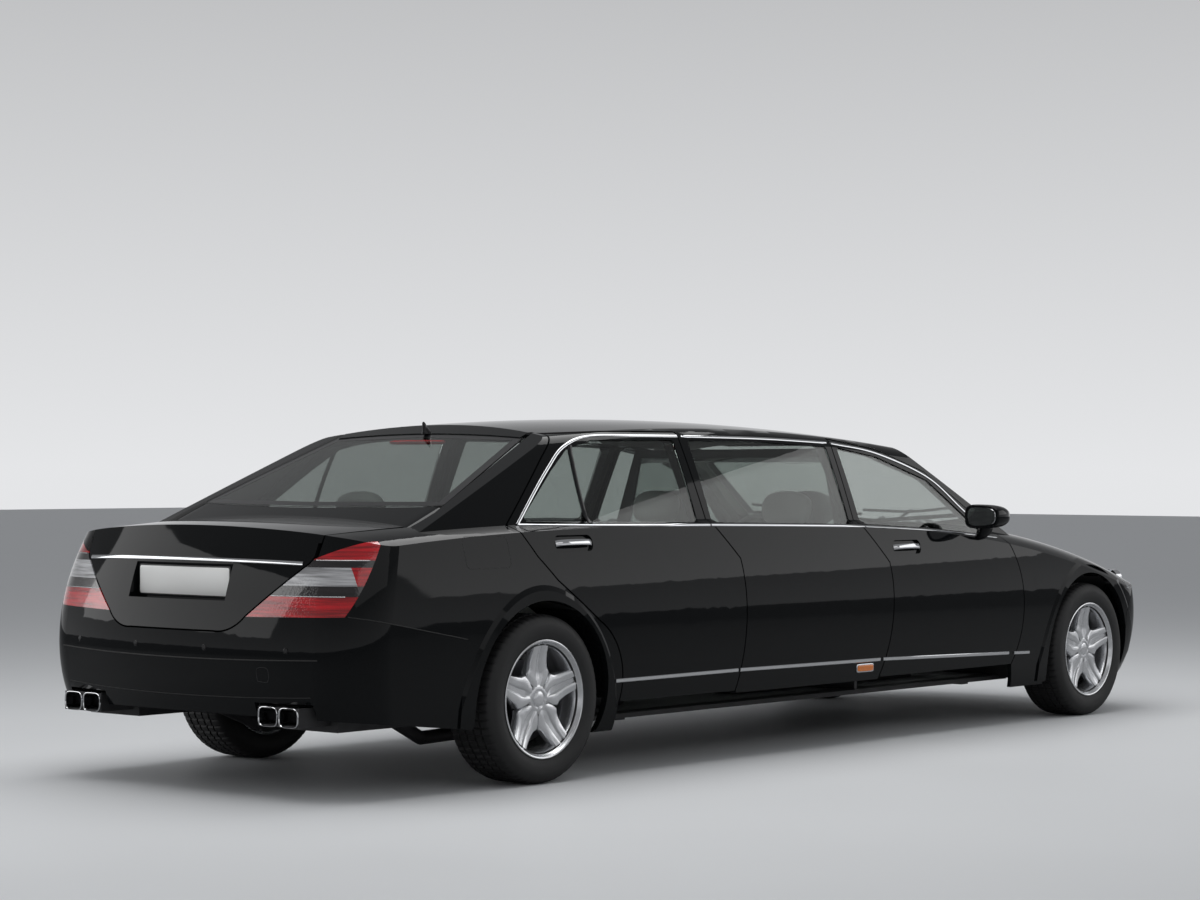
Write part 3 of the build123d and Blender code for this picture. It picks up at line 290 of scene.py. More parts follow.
def background():
    """Pale world for the camera, in mirrors and through glass, and a plain grey one for lighting."""
    world = bpy.data.worlds.new("world")
    scene.world = world
    world.use_nodes = True
    nt = world.node_tree
    ray = node(nt, "LightPath").outputs
    seen = calc(nt, "MAXIMUM", ray["Is Camera Ray"], ray["Is Transmission Ray"])
    seen = calc(nt, "MAXIMUM", seen, ray["Is Glossy Ray"])
    ramp = node(nt, "ValToRGB", Fac=axis_of(nt, node(nt, "TexCoord").outputs["Generated"], "Z"))
    for stop, (at, shade) in zip(ramp.color_ramp.elements, ((0.0, 0.78), (0.34, 0.26))):
        stop.position, stop.color = at, (shade, shade * 1.01, shade * 1.03, 1)
    color = mixed(nt, seen, (0.36, 0.37, 0.385), ramp.outputs["Color"])
    feed(nt, nt.nodes["Background"].inputs, {"Color": color, "Strength": darker_in_reflections(nt, 0.85)})


background()
bpy.ops.mesh.primitive_plane_add(size=120, location=(0, 0, 0))
floor_plane = bpy.context.object
floor_plane.name = "stage_floor"
floor_plane.data.materials.append(stage_material())


# ---------- mesh helpers
def solid(name, form, mat, body="body"):
    """Piece from a form, which is its points and faces; it rides a body."""
    mesh = bpy.data.meshes.new(name)
    mesh.from_pydata([tuple(v) for v in form[0]], [], form[1])
    mesh.validate()
    bm = bmesh.new()
    bm.from_mesh(mesh)
    bmesh.ops.remove_doubles(bm, verts=bm.verts, dist=1e-6)
    bmesh.ops.recalc_face_normals(bm, faces=bm.faces)
    bm.to_mesh(mesh)
    bm.free()
    for face in mesh.polygons:
        face.use_smooth = True
    obj = bpy.data.objects.new(name, mesh)
    scene.collection.objects.link(obj)
    mesh.materials.append(MATS[mat])
    obj.modifiers.new("edges", "EDGE_SPLIT").split_angle = math.radians(35)
    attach(obj, body)
    return obj


def tree(*names):
    """One search tree over some CAD nodes."""
    verts, faces = [], []
    for name in names:
        mesh = NODES[name].data
        base = len(verts)
        verts += [v.co.copy() for v in mesh.vertices]
        faces += [[base + i for i in p.vertices] for p in mesh.polygons]
    return BVHTree.FromPolygons(verts, faces)


def spread(path, step):
    """Points along a smooth curve through a path of 3-D points, about step apart."""
    pts = [Vector(p) for p in path]
    ext = [pts[0] * 2 - pts[1]] + pts + [pts[-1] * 2 - pts[-2]]
    out = []
    for i in range(1, len(ext) - 2):
        a, b, c, d = ext[i - 1:i + 3]
        n = max(1, int((c - b).length / step))
        for k in range(n):
            t = k / n
            out.append(0.5 * ((2 * b) + (c - a) * t + (2 * a - 5 * b + 4 * c - d) * t * t
                              + (3 * b - a - 3 * c + d) * t ** 3))
    out.append(pts[-1])
    return out


def swept(points, normals, profile, closed=False):
    """Verts and faces of a profile (across, out) carried along points with their surface normals."""
    verts, faces = [], []
    n, m = len(points), len(profile)
    for i, (p, out) in enumerate(zip(points, normals)):
        ahead = points[(i + 1) % n] if closed or i + 1 < n else p
        behind = points[i - 1] if closed or i > 0 else p
        along = (ahead - behind).normalized()
        across = out.cross(along).normalized()
        out = along.cross(across).normalized()
        verts += [p + across * u + out * v for u, v in profile]
    rows = n if closed else n - 1
    for i in range(rows):
        a, b = i * m, ((i + 1) % n) * m
        for j in range(m):
            k = (j + 1) % m
            faces.append((a + j, b + j, b + k, a + k))
    if not closed:
        faces.append(tuple(range(m))[::-1])
        faces.append(tuple((n - 1) * m + j for j in range(m)))
    return verts, faces


def moved(form, move):
    """The form with every point moved."""
    verts, faces = form
    return [move(v) for v in verts], faces


def joined(forms):
    """One form from several."""
    verts, faces = [], []
    for more_verts, more_faces in forms:
        base = len(verts)
        verts += list(more_verts)
        faces += [tuple(base + i for i in f) for f in more_faces]
    return verts, faces


def rings(rows, n, place):
    """n points round an axis for every row; place(row, cosine, sine) gives each."""
    angles = [2 * math.pi * i / n for i in range(n)]
    return [Vector(place(row, math.cos(a), math.sin(a))) for row in rows for a in angles]


def tube_faces(rows, n):
    """Faces between rows of n points each round a tube."""
    faces = []
    for r in range(rows - 1):
        a, b = r * n, (r + 1) * n
        faces += [(a + i, a + (i + 1) % n, b + (i + 1) % n, b + i) for i in range(n)]
    return faces


def end_faces(rows, n):
    """Faces that close the first and the last row of a tube."""
    return [tuple(range(n))[::-1], tuple(range((rows - 1) * n, rows * n))]


def sheet_faces(n, m):
    """Faces of a closed sheet whose points are a grid of n rows by m and then the same grid for its back."""
    k = n * m
    faces = [(i * m + j, i * m + j + 1, (i + 1) * m + j + 1, (i + 1) * m + j)
             for i in range(n - 1) for j in range(m - 1)]
    faces += [tuple(k + v for v in reversed(f)) for f in faces]
    edges = [(i * m, (i + 1) * m) for i in range(n - 1)]
    edges += [((i + 1) * m + m - 1, i * m + m - 1) for i in range(n - 1)]
    edges += [(j + 1, j) for j in range(m - 1)]
    edges += [((n - 1) * m + j, (n - 1) * m + j + 1) for j in range(m - 1)]
    return faces + [(a, b, k + b, k + a) for a, b in edges]


def bent(t, power):
    """t to a power, with its sign kept."""
    return math.copysign(abs(t) ** power, t)


def flat_profile(half, sink, rise):
    """Rectangular section of a strip."""
    return [(-half, -sink), (-half, rise), (half, rise), (half, -sink)]


def oval_profile(a, b, n):
    """Oval section with n sides."""
    return [(a * math.cos(2 * math.pi * k / n), b * math.sin(2 * math.pi * k / n)) for k in range(n)]


def rounded_profile(width, height, sink=0.001):
    """Low rounded bar section."""
    w = width / 2
    return [(-w, -sink), (-w, height * 0.55), (-w * 0.72, height * 0.9), (0, height),
            (w * 0.72, height * 0.9), (w, height * 0.55), (w, -sink)]


BODY_TREE = tree("fenders", "quarters", "middle_panels", "roof", "front_bumper", "rear_bumper", "bonnet",
                 "boot_lid", "front_door_right", "rear_door_right", "middle_glass",
                 "front_door_glass_right", "rear_door_glass_right", "tail_lamps", "headlamps", "windscreen",
                 "backlight", "cowl")
LAMP_TREE = tree("headlamps")
STEP = 0.03                   # usual distance between the points of a strip


def cast(start, direction, lift=0.0):
    """Point and normal where a line meets the body, lifted off it."""
    spot, normal, _, _ = BODY_TREE.ray_cast(Vector(start), Vector(direction).normalized())
    if spot is None:
        return None, None
    if normal.dot(Vector(direction)) > 0:
        normal = -normal
    return spot + normal * lift, normal


def on_side(x, z, lift=0.0):
    return cast((x, -2.0, z), (0, 1, 0), lift)


def on_rear(y, z, lift=0.0):
    return cast((-5.0, y, z), (1, 0, 0), lift)


def on_front(y, z, lift=0.0):
    return cast((5.0, y, z), (-1, 0, 0), lift)


def two_sided(name, form, mat, body):
    """The piece on the right and its mirror image on the left; body may hold {} for the side's name."""
    for side, s in SIDES:
        here = moved(form, lambda v: Vector((v.x, -s * v.y, v.z)))
        solid(f"{name}_{side}", here, mat, body.format(side))


def curve(path, step):
    """(p, q) points about step apart on a smooth curve through (p, q) points."""
    return [(v.x, v.y) for v in spread([(p, q, 0) for p, q in path], step)]


def outline(corners, step):
    """(p, q) points about step apart on the straight edges of a closed outline."""
    points = []
    for (p, q), (p1, q1) in zip(corners, corners[1:] + corners[:1]):
        n = max(1, int(math.hypot(p1 - p, q1 - q) / step))
        points += [(p + (p1 - p) * k / n, q + (q1 - q) * k / n) for k in range(n)]
    return points


def laid(places, caster, lift=0.0):
    """Points and normals where a caster finds the body at (p, q) places."""
    hits = [caster(p, q, lift) for p, q in places]
    hits = [hit for hit in hits if hit[0] is not None]
    return [spot for spot, _ in hits], [normal for _, normal in hits]


def side_strip(name, xz, width, height, body, mat="chrome", slot="chrome", lift=0.0):
    """Strip that follows the right side of the body through (x, z) points, and its mirror image."""
    pts, normals = laid(curve(xz, STEP), on_side, lift)
    evened = [sum(normals[max(0, i - 2):i + 3], Vector()).normalized() for i in range(len(normals))]
    two_sided(name, swept(pts, evened, rounded_profile(width, height)), mat, body)


# ---------- chrome on the sides
WINDOW, SILL = (0.013, 0.004), (0.016, 0.006)     # width and height of the strips
SIDE_STRIPS = (
    # name, section, body, points x, z
    ("window_strip_rear", WINDOW, "rear_door_{}", ((-0.835, 1.030), (-1.5, 1.037), (-2.02, 1.046))),
    ("window_arch_rear", WINDOW, "rear_door_{}", ((-2.026, 1.046), (-1.88, 1.170), (-1.748, 1.274),
                                                  (-1.612, 1.364), (-1.424, 1.411), (-1.1, 1.416),
                                                  (-0.835, 1.417))),
    ("window_strip_middle", WINDOW, "body", ((0.335, 1.008), (-0.3, 1.021), (-0.826, 1.030))),
    ("window_arch_middle", WINDOW, "body", ((-0.826, 1.417), (-0.2, 1.412), (0.330, 1.397))),
    ("window_strip_front", WINDOW, "front_door_{}", ((0.342, 1.008), (0.9, 0.981), (1.50, 0.936))),
    ("window_arch_front", WINDOW, "front_door_{}", ((0.340, 1.396), (0.695, 1.352), (1.094, 1.238),
                                                    (1.32, 1.087), (1.50, 0.955))),
    ("sill_strip_rear", SILL, "rear_door_{}", ((-1.535, 0.392), (-0.70, 0.394))),
    ("sill_strip_middle", SILL, "body", ((-0.685, 0.394), (0.40, 0.386))),
    ("sill_strip_front", SILL, "front_door_{}", ((0.425, 0.386), (1.55, 0.360))),
    ("sill_strip_fender", SILL, "body", ((1.60, 0.358), (1.749, 0.354))),
)
for name, section, body, points in SIDE_STRIPS:
    side_strip(name, points, *section, body)


# ---------- wheels
def wheel_point(x, s, u, v, w):
    """World point from a wheel's own directions: u ahead, v up, w outward from the middle of the tread."""
    return Vector((x + u, s * (TRACK + w), HUB_Z + v))


def ring_grid(radial, steps):
    """Verts and faces of rows of (radius, w) carried round the axle; radial(i) gives the row at step i."""
    verts, faces = [], []
    count = len(radial(0))
    for i in range(steps):
        a = 2 * math.pi * i / steps
        verts += [(r * math.cos(a), r * math.sin(a), w) for r, w in radial(i)]
    for i in range(steps):
        a, b = i * count, ((i + 1) % steps) * count
        faces += [(a + j, a + (j + 1) % count, b + (j + 1) % count, b + j) for j in range(count)]
    return verts, faces


TYRE_HALF = ((0.217, 0.1010), (0.233, 0.1034), (0.2405, 0.1105), (0.247, 0.1165), (0.256, 0.1185),
             (0.262, 0.1215), (0.276, 0.1240), (0.293, 0.1250), (0.306, 0.1235), (0.3125, 0.1205),
             (0.3185, 0.1180), (0.3270, 0.1130), (0.3345, 0.1065), (0.3385, 0.1000), (0.3410, 0.0900))
TREAD = ((0.3425, 0.0800), (0.3430, 0.0680), (0.3360, 0.0665), (0.3360, 0.0595), (0.3430, 0.0580),
         (0.3430, 0.0420), (0.3430, 0.0270), (0.3360, 0.0255), (0.3360, 0.0185), (0.3430, 0.0170),
         (0.3430, 0.0060))
SIPES = 64                    # cross grooves round the tread
SIPE_STEPS = 5                # grid steps from one cross groove to the next
SIPE_DEPTH = 0.0055
FADE = 4                      # points of the shoulder over which a cross groove gets deeper


def tyre_row(i):
    """Section of the tyre at a step; every SIPE_STEPS-th is the floor of a cross groove."""
    cut = SIPE_DEPTH if i % SIPE_STEPS == 0 else 0.0
    start = len(TYRE_HALF) - FADE - 1
    wall = [(r - cut * max(0, k - start) / FADE, w) for k, (r, w) in enumerate(TYRE_HALF)]
    tread = [(r - (cut if r > 0.34 else 0), w) for r, w in TREAD]
    half = wall + tread
    return half + [(r, -w) for r, w in reversed(half)]


RIM = ((0.2405, 0.1130), (0.2410, 0.1165), (0.2375, 0.1180), (0.2330, 0.1165), (0.2290, 0.1110),
       (0.2245, 0.1040), (0.2180, 0.0975), (0.2130, 0.0800), (0.2090, 0.0400), (0.2060, -0.0200),
       (0.2070, -0.0700), (0.2160, -0.0900), (0.2270, -0.1000), (0.2330, -0.1120), (0.2400, -0.1165),
       (0.2405, -0.1120), (0.2310, -0.0960), (0.2100, -0.0700), (0.2095, -0.0200), (0.2130, 0.0400),
       (0.2170, 0.0800), (0.2230, 0.0990), (0.2330, 0.1080))
# rows of a spoke: radius, half width, height of its face
SPOKE_ROWS = ((0.030, 0.0215, 0.0800), (0.058, 0.0418, 0.0840), (0.085, 0.0612, 0.0830),
              (0.104, 0.0700, 0.0822), (0.114, 0.0640, 0.0822), (0.124, 0.0575, 0.0825),
              (0.150, 0.0525, 0.0845), (0.172, 0.0492, 0.0880), (0.195, 0.0462, 0.0935),
              (0.212, 0.0450, 0.0985), (0.2235, 0.0455, 0.1015))
# points across a spoke: share of the half width, height from its face
SPOKE_ACROSS = ((-1.0, -0.034), (-1.0, -0.0075), (-0.93, -0.0022), (-0.80, 0.0), (-0.34, 0.0010),
                (-0.25, -0.0008), (-0.17, -0.0068), (0.17, -0.0068), (0.25, -0.0008), (0.34, 0.0010),
                (0.80, 0.0), (0.93, -0.0022), (1.0, -0.0075), (1.0, -0.034))


def spoke(turn):
    """One of the five spokes, with a hollow along its middle; the outer rows follow the rim's curve."""
    verts = []
    c, n = math.cos(turn), math.sin(turn)
    for r, half, w in SPOKE_ROWS:
        for share, rise in SPOKE_ACROSS:
            if abs(share) < 0.3:
                rise *= min(1.0, max(0.0, (r - 0.045) / 0.05))
            v = share * half
            u = r * r / math.hypot(r, v) if r > 0.19 else r
            verts.append((u * c - v * n, u * n + v * c, w + rise))
    rows, m = len(SPOKE_ROWS), len(SPOKE_ACROSS)
    return verts, tube_faces(rows, m) + [f[::-1] for f in end_faces(rows, m)]


def lathe(rows, steps, centre=(0, 0)):
    """Turned form from (radius, w) rows, closed where the radius is 0."""
    verts, faces = ring_grid(lambda i: rows, steps)
    faces = [f for f in faces if f[0] % len(rows) != len(rows) - 1]
    return moved((verts, faces), lambda v: (v[0] + centre[0], v[1] + centre[1], v[2]))


SPOKES = 5
TURN = 360 // SPOKES
BOLT_TURN = 90 + TURN // 2    # the first bolt and the valve stand half way between two spokes
BOLT_RADIUS, VALVE_RADIUS = 0.056, 0.205


def bolt_circle(rows, steps):
    """Turned forms round the hub, one between each two spokes."""
    forms = []
    for k in range(SPOKES):
        a = math.radians(BOLT_TURN + TURN * k)
        forms.append(lathe(rows, steps, (BOLT_RADIUS * math.cos(a), BOLT_RADIUS * math.sin(a))))
    return joined(forms)


HUB_CAP = ((0.0, 0.0885), (0.012, 0.0883), (0.026, 0.0872), (0.0305, 0.0850), (0.032, 0.0800),
           (0.036, 0.0790), (0.040, 0.0845), (0.047, 0.0842), (0.066, 0.0800), (0.0700, 0.0760),
           (0.0700, 0.030), (0.0, 0.030))
BOLT = ((0.0, 0.0850), (0.0068, 0.0848), (0.0080, 0.0835), (0.0080, 0.0790))
BOLT_WELL = ((0.0, 0.0815), (0.0128, 0.0815), (0.0135, 0.0825), (0.0135, 0.0780))
DISC = ((0.060, 0.0120), (0.150, 0.0120), (0.176, 0.0120), (0.178, 0.0100), (0.178, 0.0020), (0.170, 0.0020),
        (0.170, -0.0040), (0.178, -0.0040), (0.178, -0.0110), (0.176, -0.0130), (0.060, -0.0130))
BELL = ((0.040, 0.0480), (0.080, 0.0480), (0.090, 0.0440), (0.092, 0.0100), (0.060, -0.0060))
VALVE_TURN = math.radians(BOLT_TURN)
VALVE_FOOT = (VALVE_RADIUS * math.cos(VALVE_TURN), VALVE_RADIUS * math.sin(VALVE_TURN))
VALVE = swept([Vector((*VALVE_FOOT, w)) for w in (0.070, 0.085, 0.100)], [Vector((1, 0, 0))] * 3,
              [(0.003 * math.cos(t), 0.003 * math.sin(t)) for t in (0, 1.05, 2.09, 3.14, 4.19, 5.24)])
RIM_FORM = joined([ring_grid(lambda i: RIM, 96)] + [spoke(math.radians(90 + TURN * k)) for k in range(SPOKES)]
                  + [lathe(HUB_CAP, 60)])
WHEEL_PIECES = (
    # name, form, material, slot
    ("rim", RIM_FORM, "alloy", "alloy"),
    ("bolts", bolt_circle(BOLT, 6), "satin_chrome", "alloy"),
    ("bolt_wells", bolt_circle(BOLT_WELL, 24), "plastic", "alloy"),
    ("disc", ring_grid(lambda i: DISC, 64), "steel", "steel"),
    ("disc_bell", ring_grid(lambda i: BELL, 48), "iron", "steel"),
    ("tyre", ring_grid(tyre_row, SIPES * SIPE_STEPS), "tyre", "tyre"),
    ("valve", VALVE, "rubber", "alloy"),
)
for end, axle in (("front", FRONT_AXLE), ("rear", REAR_AXLE)):
    for side, s in SIDES:
        for kind, form, mat, slot in WHEEL_PIECES:
            form = moved(form, lambda v: wheel_point(axle, s, *v))
            piece = solid(f"{kind}_{end}_{side}", form, mat, f"{end}_wheel_{side}")
            if kind in ("rim", "tyre"):
                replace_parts(piece, f"{end}_{kind}_{side}")


# ---------- outside trim
def capsule(centre, size, mat, name, power):
    """Rounded block from a superellipsoid."""
    a, b, c = (v / 2 for v in size)
    around, up = 24, 12

    def place(lat, cosine, sine):
        level = bent(math.cos(lat), 2 / power)
        height = bent(math.sin(lat), 2 / power)
        return a * level * bent(cosine, 2 / power), b * level * bent(sine, 2 / power), c * height

    latitudes = [-math.pi / 2 + math.pi * j / up for j in range(up + 1)]
    form = rings(latitudes, around, place), tube_faces(up + 1, around)
    solid(name, moved(form, lambda v: v + centre), mat)


# along a door handle: share of its half length, distance out from the door
HANDLE_BOW = ((-1.0, -0.004), (-0.92, 0.004), (-0.75, 0.010), (-0.4, 0.014), (0, 0.015), (0.4, 0.014),
              (0.75, 0.010), (0.92, 0.004), (1.0, -0.004))
HANDLE_PROFILE = [(-0.0125, -0.003), (-0.0135, 0.0), (-0.0125, 0.003), (-0.006, 0.0052), (0, 0.0058),
                  (0.006, 0.0052), (0.0125, 0.003), (0.0135, 0.0), (0.0125, -0.003), (0, -0.004)]
HANDLE_HALF = 0.108
CUP_HALF = 0.042              # above and below a handle, where the hollow behind it ends


def handle(name, x, z, body):
    """Door handle that bridges the hollow in the door behind it, and its mirror image."""
    pts, normals = [], []
    for share, out in HANDLE_BOW:
        above, normal = on_side(x + share * HANDLE_HALF, z + CUP_HALF)
        below, _ = on_side(x + share * HANDLE_HALF, z - CUP_HALF)
        pts.append((above + below) / 2 + normal * out)
        normals.append(normal)
    two_sided(name, swept(pts, normals, HANDLE_PROFILE), "chrome", body)


handle("handle_front", 0.652, 0.906, "front_door_{}")
handle("handle_rear", -1.760, 0.968, "rear_door_{}")


def rear_strip(name, yz, width, height, mat, body="body", step=STEP):
    """Strip that follows the back of the body through (y, z) points."""
    pts, normals = laid(curve(yz, step), on_rear)
    solid(name, swept(pts, normals, rounded_profile(width, height)), mat, body)


LID_LINE = ((-0.615, 0.908), (-0.4, 0.913), (0, 0.916), (0.4, 0.913), (0.615, 0.908))
rear_strip("lid_strip", LID_LINE, 0.016, 0.006, "chrome", "boot_lid")


def rounded_plate(name, x, width, height, radius, thick, mat):
    """Flat plate on the boot lid with rounded corners, its back at x and its face towards the rear."""
    ring = []
    for cy, cz, start in ((1, 1, 0), (-1, 1, 90), (-1, -1, 180), (1, -1, 270)):
        for k in range(6):
            a = math.radians(start + 18 * k)
            ring.append((cy * (width / 2 - radius) + radius * math.cos(a),
                         PLATE_Z + cz * (height / 2 - radius) + radius * math.sin(a)))
    face = [(p * (1 - thick / width), PLATE_Z + (q - PLATE_Z) * (1 - thick / height)) for p, q in ring]
    verts = []
    for depth, row in ((0, ring), (thick * 0.7, ring), (thick, face)):
        verts += [Vector((x - depth, p, q)) for p, q in row]
    faces = end_faces(3, len(ring)) + tube_faces(3, len(ring))
    solid(name, (verts, faces), mat, "boot_lid")


PLATE_Z = 0.829
rounded_plate("plate_holder", -3.0898, 0.532, 0.122, 0.010, 0.006, "plastic")
rounded_plate("plate", -3.0956, 0.520, 0.110, 0.009, 0.0022, "white")

SENSOR = ((0.0, 0.0022), (0.0085, 0.0020), (0.0095, 0.0004), (0.0105, 0.0012), (0.0120, 0.0006),
          (0.0120, -0.002))
for i, y in enumerate((-0.60, -0.20, 0.20, 0.60)):
    spot, normal = on_rear(y, 0.578)
    turn = normal.to_track_quat("Z", "Y").to_matrix()
    sensor = moved(lathe(SENSOR, 28), lambda v: turn @ Vector(v) + spot)
    solid(f"parking_sensor_{i}", sensor, "gloss_black")

# the line where the bumper meets the rear quarters, just above the gap itself
side_strip("bumper_seam", ((-3.02, 0.7100), (-2.44, 0.6045)), 0.0040, 0.0012, "body", "rubber",
           "black_plastic")
GROOVE = ((-0.74, 0.545), (-0.4, 0.537), (0, 0.534), (0.4, 0.537), (0.74, 0.545))
LOWER_EDGE = ((-0.70, 0.402), (-0.4, 0.392), (0, 0.388), (0.4, 0.392), (0.70, 0.402))
rear_strip("bumper_groove", GROOVE, 0.005, 0.0012, "rubber")
rear_strip("bumper_lower_edge", LOWER_EDGE, 0.003, 0.0010, "rubber")

# line round the square cover of the towing eye
spot, normal = on_rear(-0.49, 0.482)
turn = normal.to_track_quat("Z", "Y").to_matrix()
cover = [(-0.024, -0.024), (0.024, -0.024), (0.024, 0.024), (-0.024, 0.024)]
loop = spread([(u, v, 0) for u, v in cover + cover[:1]], 0.004)
line = swept([turn @ p + spot for p in loop[:-1]], [normal] * (len(loop) - 1),
             flat_profile(0.0009, 0.0008, 0.0004), closed=True)
solid("tow_eye_cover", line, "plastic")

# along a tail pipe's end: x, share of its width and height; out over the lip and back in
TIP_ROWS = ((-2.99, 1.0), (-3.128, 1.0), (-3.133, 0.98), (-3.134, 0.93), (-3.131, 0.88), (-3.02, 0.86))


def tube_tip(y, z, width, height):
    """Rounded rectangular tail pipe end, closed at the front only."""
    def place(row, c, q):
        x, size = row
        return x, y + width / 2 * size * bent(c, 0.5), z + height / 2 * size * bent(q, 0.5)

    n = 28
    return rings(TIP_ROWS, n, place), tube_faces(len(TIP_ROWS), n) + end_faces(len(TIP_ROWS), n)[:1]


for side, s in SIDES:
    tips = joined([tube_tip(s * (0.570 + d), 0.325, 0.108, 0.078) for d in (-0.056, 0.056)])
    solid(f"exhaust_tips_{side}", tips, "chrome")

# groove round the fuel flap, right side only
flap = []
for cx, cz, start in ((-2.182, 0.982, 0), (-2.398, 0.982, 90), (-2.398, 0.900, 180), (-2.182, 0.900, 270)):
    for k in range(5):
        a = math.radians(start + 22.5 * k)
        flap.append((cx + 0.022 * math.cos(a), cz + 0.022 * math.sin(a)))
pts, normals = laid(outline(flap, 0.02), on_side)
groove = swept(pts, normals, flat_profile(0.0016, 0.001, 0.0004), closed=True)
solid("fuel_flap_groove", groove, "rubber")

STATIONS = (0.0, 0.25, 0.5, 0.75, 1.0)     # shares of a length at which a strip or sheet gets its points

# bright lines between the bands of the tail lamps
for tag, z, inner, outer in (("top", 0.922, 0.668, 0.842), ("low", 0.785, 0.502, 0.812)):
    for side, s in SIDES:
        line = [(s * (inner + (outer - inner) * t), z) for t in STATIONS]
        rear_strip(f"tail_lamp_line_{tag}_{side}", line, 0.0035, 0.0010, "satin_chrome", step=0.012)

# side marker lamps on the sills
spot, _ = on_side(0.285, 0.352)
for side, s in SIDES:
    middle = Vector((spot.x, s * abs(spot.y), spot.z))
    behind = middle - Vector((0, s * 0.002, 0))
    capsule(middle, (0.128, 0.016, 0.030), "amber", f"side_marker_{side}", 6)
    capsule(behind, (0.140, 0.012, 0.040), "chrome", f"side_marker_rim_{side}", 8)

# bar that divides the rear door's window
side_strip("rear_window_bar", ((-1.600, 1.045), (-1.594, 1.20), (-1.570, 1.372)), 0.024, 0.005,
           "rear_door_{}", "gloss_black", "black_plastic", lift=0.001)

# antenna, a fin on the roof: x, height, half width
FIN_ROWS = ((0.030, -0.004, 0.017), (0.028, 0.003, 0.016), (0.012, 0.012, 0.011), (-0.004, 0.026, 0.007),
            (-0.014, 0.042, 0.0045), (-0.018, 0.048, 0.002))
base, _ = cast((-1.70, 0, 3.0), (0, 0, -1))
verts = rings(FIN_ROWS, 16, lambda row, c, q: (base.x + (row[0] - 0.03) * 0.6 + 2.1 * row[2] * c, row[2] * q,
                                               base.z + row[1]))
faces = tube_faces(len(FIN_ROWS), 16) + end_faces(len(FIN_ROWS), 16)
solid("antenna", (verts, faces), "gloss_black")


# ---------- mirrors
# along a mirror's head: x from its middle, share of its half width, share of its half height
HEAD_ROWS = ((-0.072, 0.80, 0.80), (-0.074, 0.92, 0.90), (-0.070, 0.985, 0.975), (-0.055, 1.0, 1.0),
             (-0.02, 0.995, 0.99), (0.02, 0.95, 0.93), (0.050, 0.84, 0.80), (0.068, 0.62, 0.58),
             (0.075, 0.30, 0.28))
GLASS_ROWS = ((-0.0742, 0.90, 0.90), (-0.0760, 0.88, 0.88))
ARM = ((1.315, 0.868, 0.938), (1.312, 0.900, 0.945), (1.300, 0.930, 0.966), (1.285, 0.955, 1.000))
MIRROR_X, MIRROR_Y, MIRROR_Z = 1.255, 0.985, 1.045


def mirror_form(rows, half_width, half_height, power, s):
    """Closed form with rounded corners, lower towards its outer end."""
    def place(row, c, q):
        dx, wide, high = row
        y = half_width * wide * bent(c, power)
        z = half_height * high * bent(q, power) * (1.0 - 0.12 * c)
        return MIRROR_X + dx, s * (MIRROR_Y + y), MIRROR_Z + z

    return rings(rows, 32, place), tube_faces(len(rows), 32) + end_faces(len(rows), 32)


for side, s in SIDES:
    body = f"front_door_{side}"
    arm = swept([Vector((x, s * y, z)) for x, y, z in ARM], [Vector((0, 0, 1))] * 4,
                oval_profile(0.036, 0.016, 16))
    shell = joined([mirror_form(HEAD_ROWS, 0.100, 0.059, 0.62, s), arm])
    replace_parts(solid(f"mirror_shell_{side}", shell, "paint", body), f"mirror_{side}")
    solid(f"mirror_glass_{side}", mirror_form(GLASS_ROWS, 0.088, 0.050, 0.6, s), "chrome", body)
    strip = [Vector((MIRROR_X + 0.066 - 0.9 * (t - 0.5) ** 2 * 0.1, s * (MIRROR_Y + 0.10 * (t - 0.45)),
                     1.048)) for t in STATIONS]
    indicator = swept(strip, [Vector((1, 0, 0))] * 5, rounded_profile(0.010, 0.009, 0.02))
    solid(f"mirror_indicator_{side}", indicator, "clear", body)


# ---------- seats
# name, x, y, 1 for a seat that faces forward and -1 for one that faces back
SEATS = (("front_right", 1.010, -0.400, 1), ("front_left", 1.010, 0.400, 1),
         ("middle_right", -0.090, -0.400, -1), ("middle_left", -0.090, 0.400, -1),
         ("rear_right", -1.240, -0.400, 1), ("rear_left", -1.240, 0.400, 1))
BACK_TILT = math.radians(-14)
BACK_PIVOT = Vector((-0.250, 0, 0.380))
CUSHION_AT, BACK_AT, HEAD_AT = (0.005, 0, 0.425), (-0.270, 0, 0.695), (-0.285, 0, 1.115)


def soft_block(size, power, counts, shape=lambda p, q: p):
    """Rounded block on a grid; shape(p, q) moves a point p, whose place in the unit cube is q."""
    verts, faces = [], []
    half = Vector(size) / 2
    for axis in range(3):
        u, v = [k for k in range(3) if k != axis]
        for end in (-1, 1):
            base = len(verts)
            nu, nv = counts[u], counts[v]
            for i in range(nu + 1):
                for j in range(nv + 1):
                    q = Vector((0, 0, 0))
                    q[axis], q[u], q[v] = end, -1 + 2 * i / nu, -1 + 2 * j / nv
                    q = q * sum(abs(t) ** power for t in q) ** (-1 / power)
                    verts.append(shape(q * half, q))
            for i in range(nu):
                for j in range(nv):
                    a = base + i * (nv + 1) + j
                    faces.append((a, a + nv + 1, a + nv + 2, a + 1))
    return verts, faces


def seam(value, places, width):
    """How near a value is to one of the places: 1 on it, near 0 a few widths away."""
    return sum(math.exp(-((value - at) / width) ** 2) for at in places)


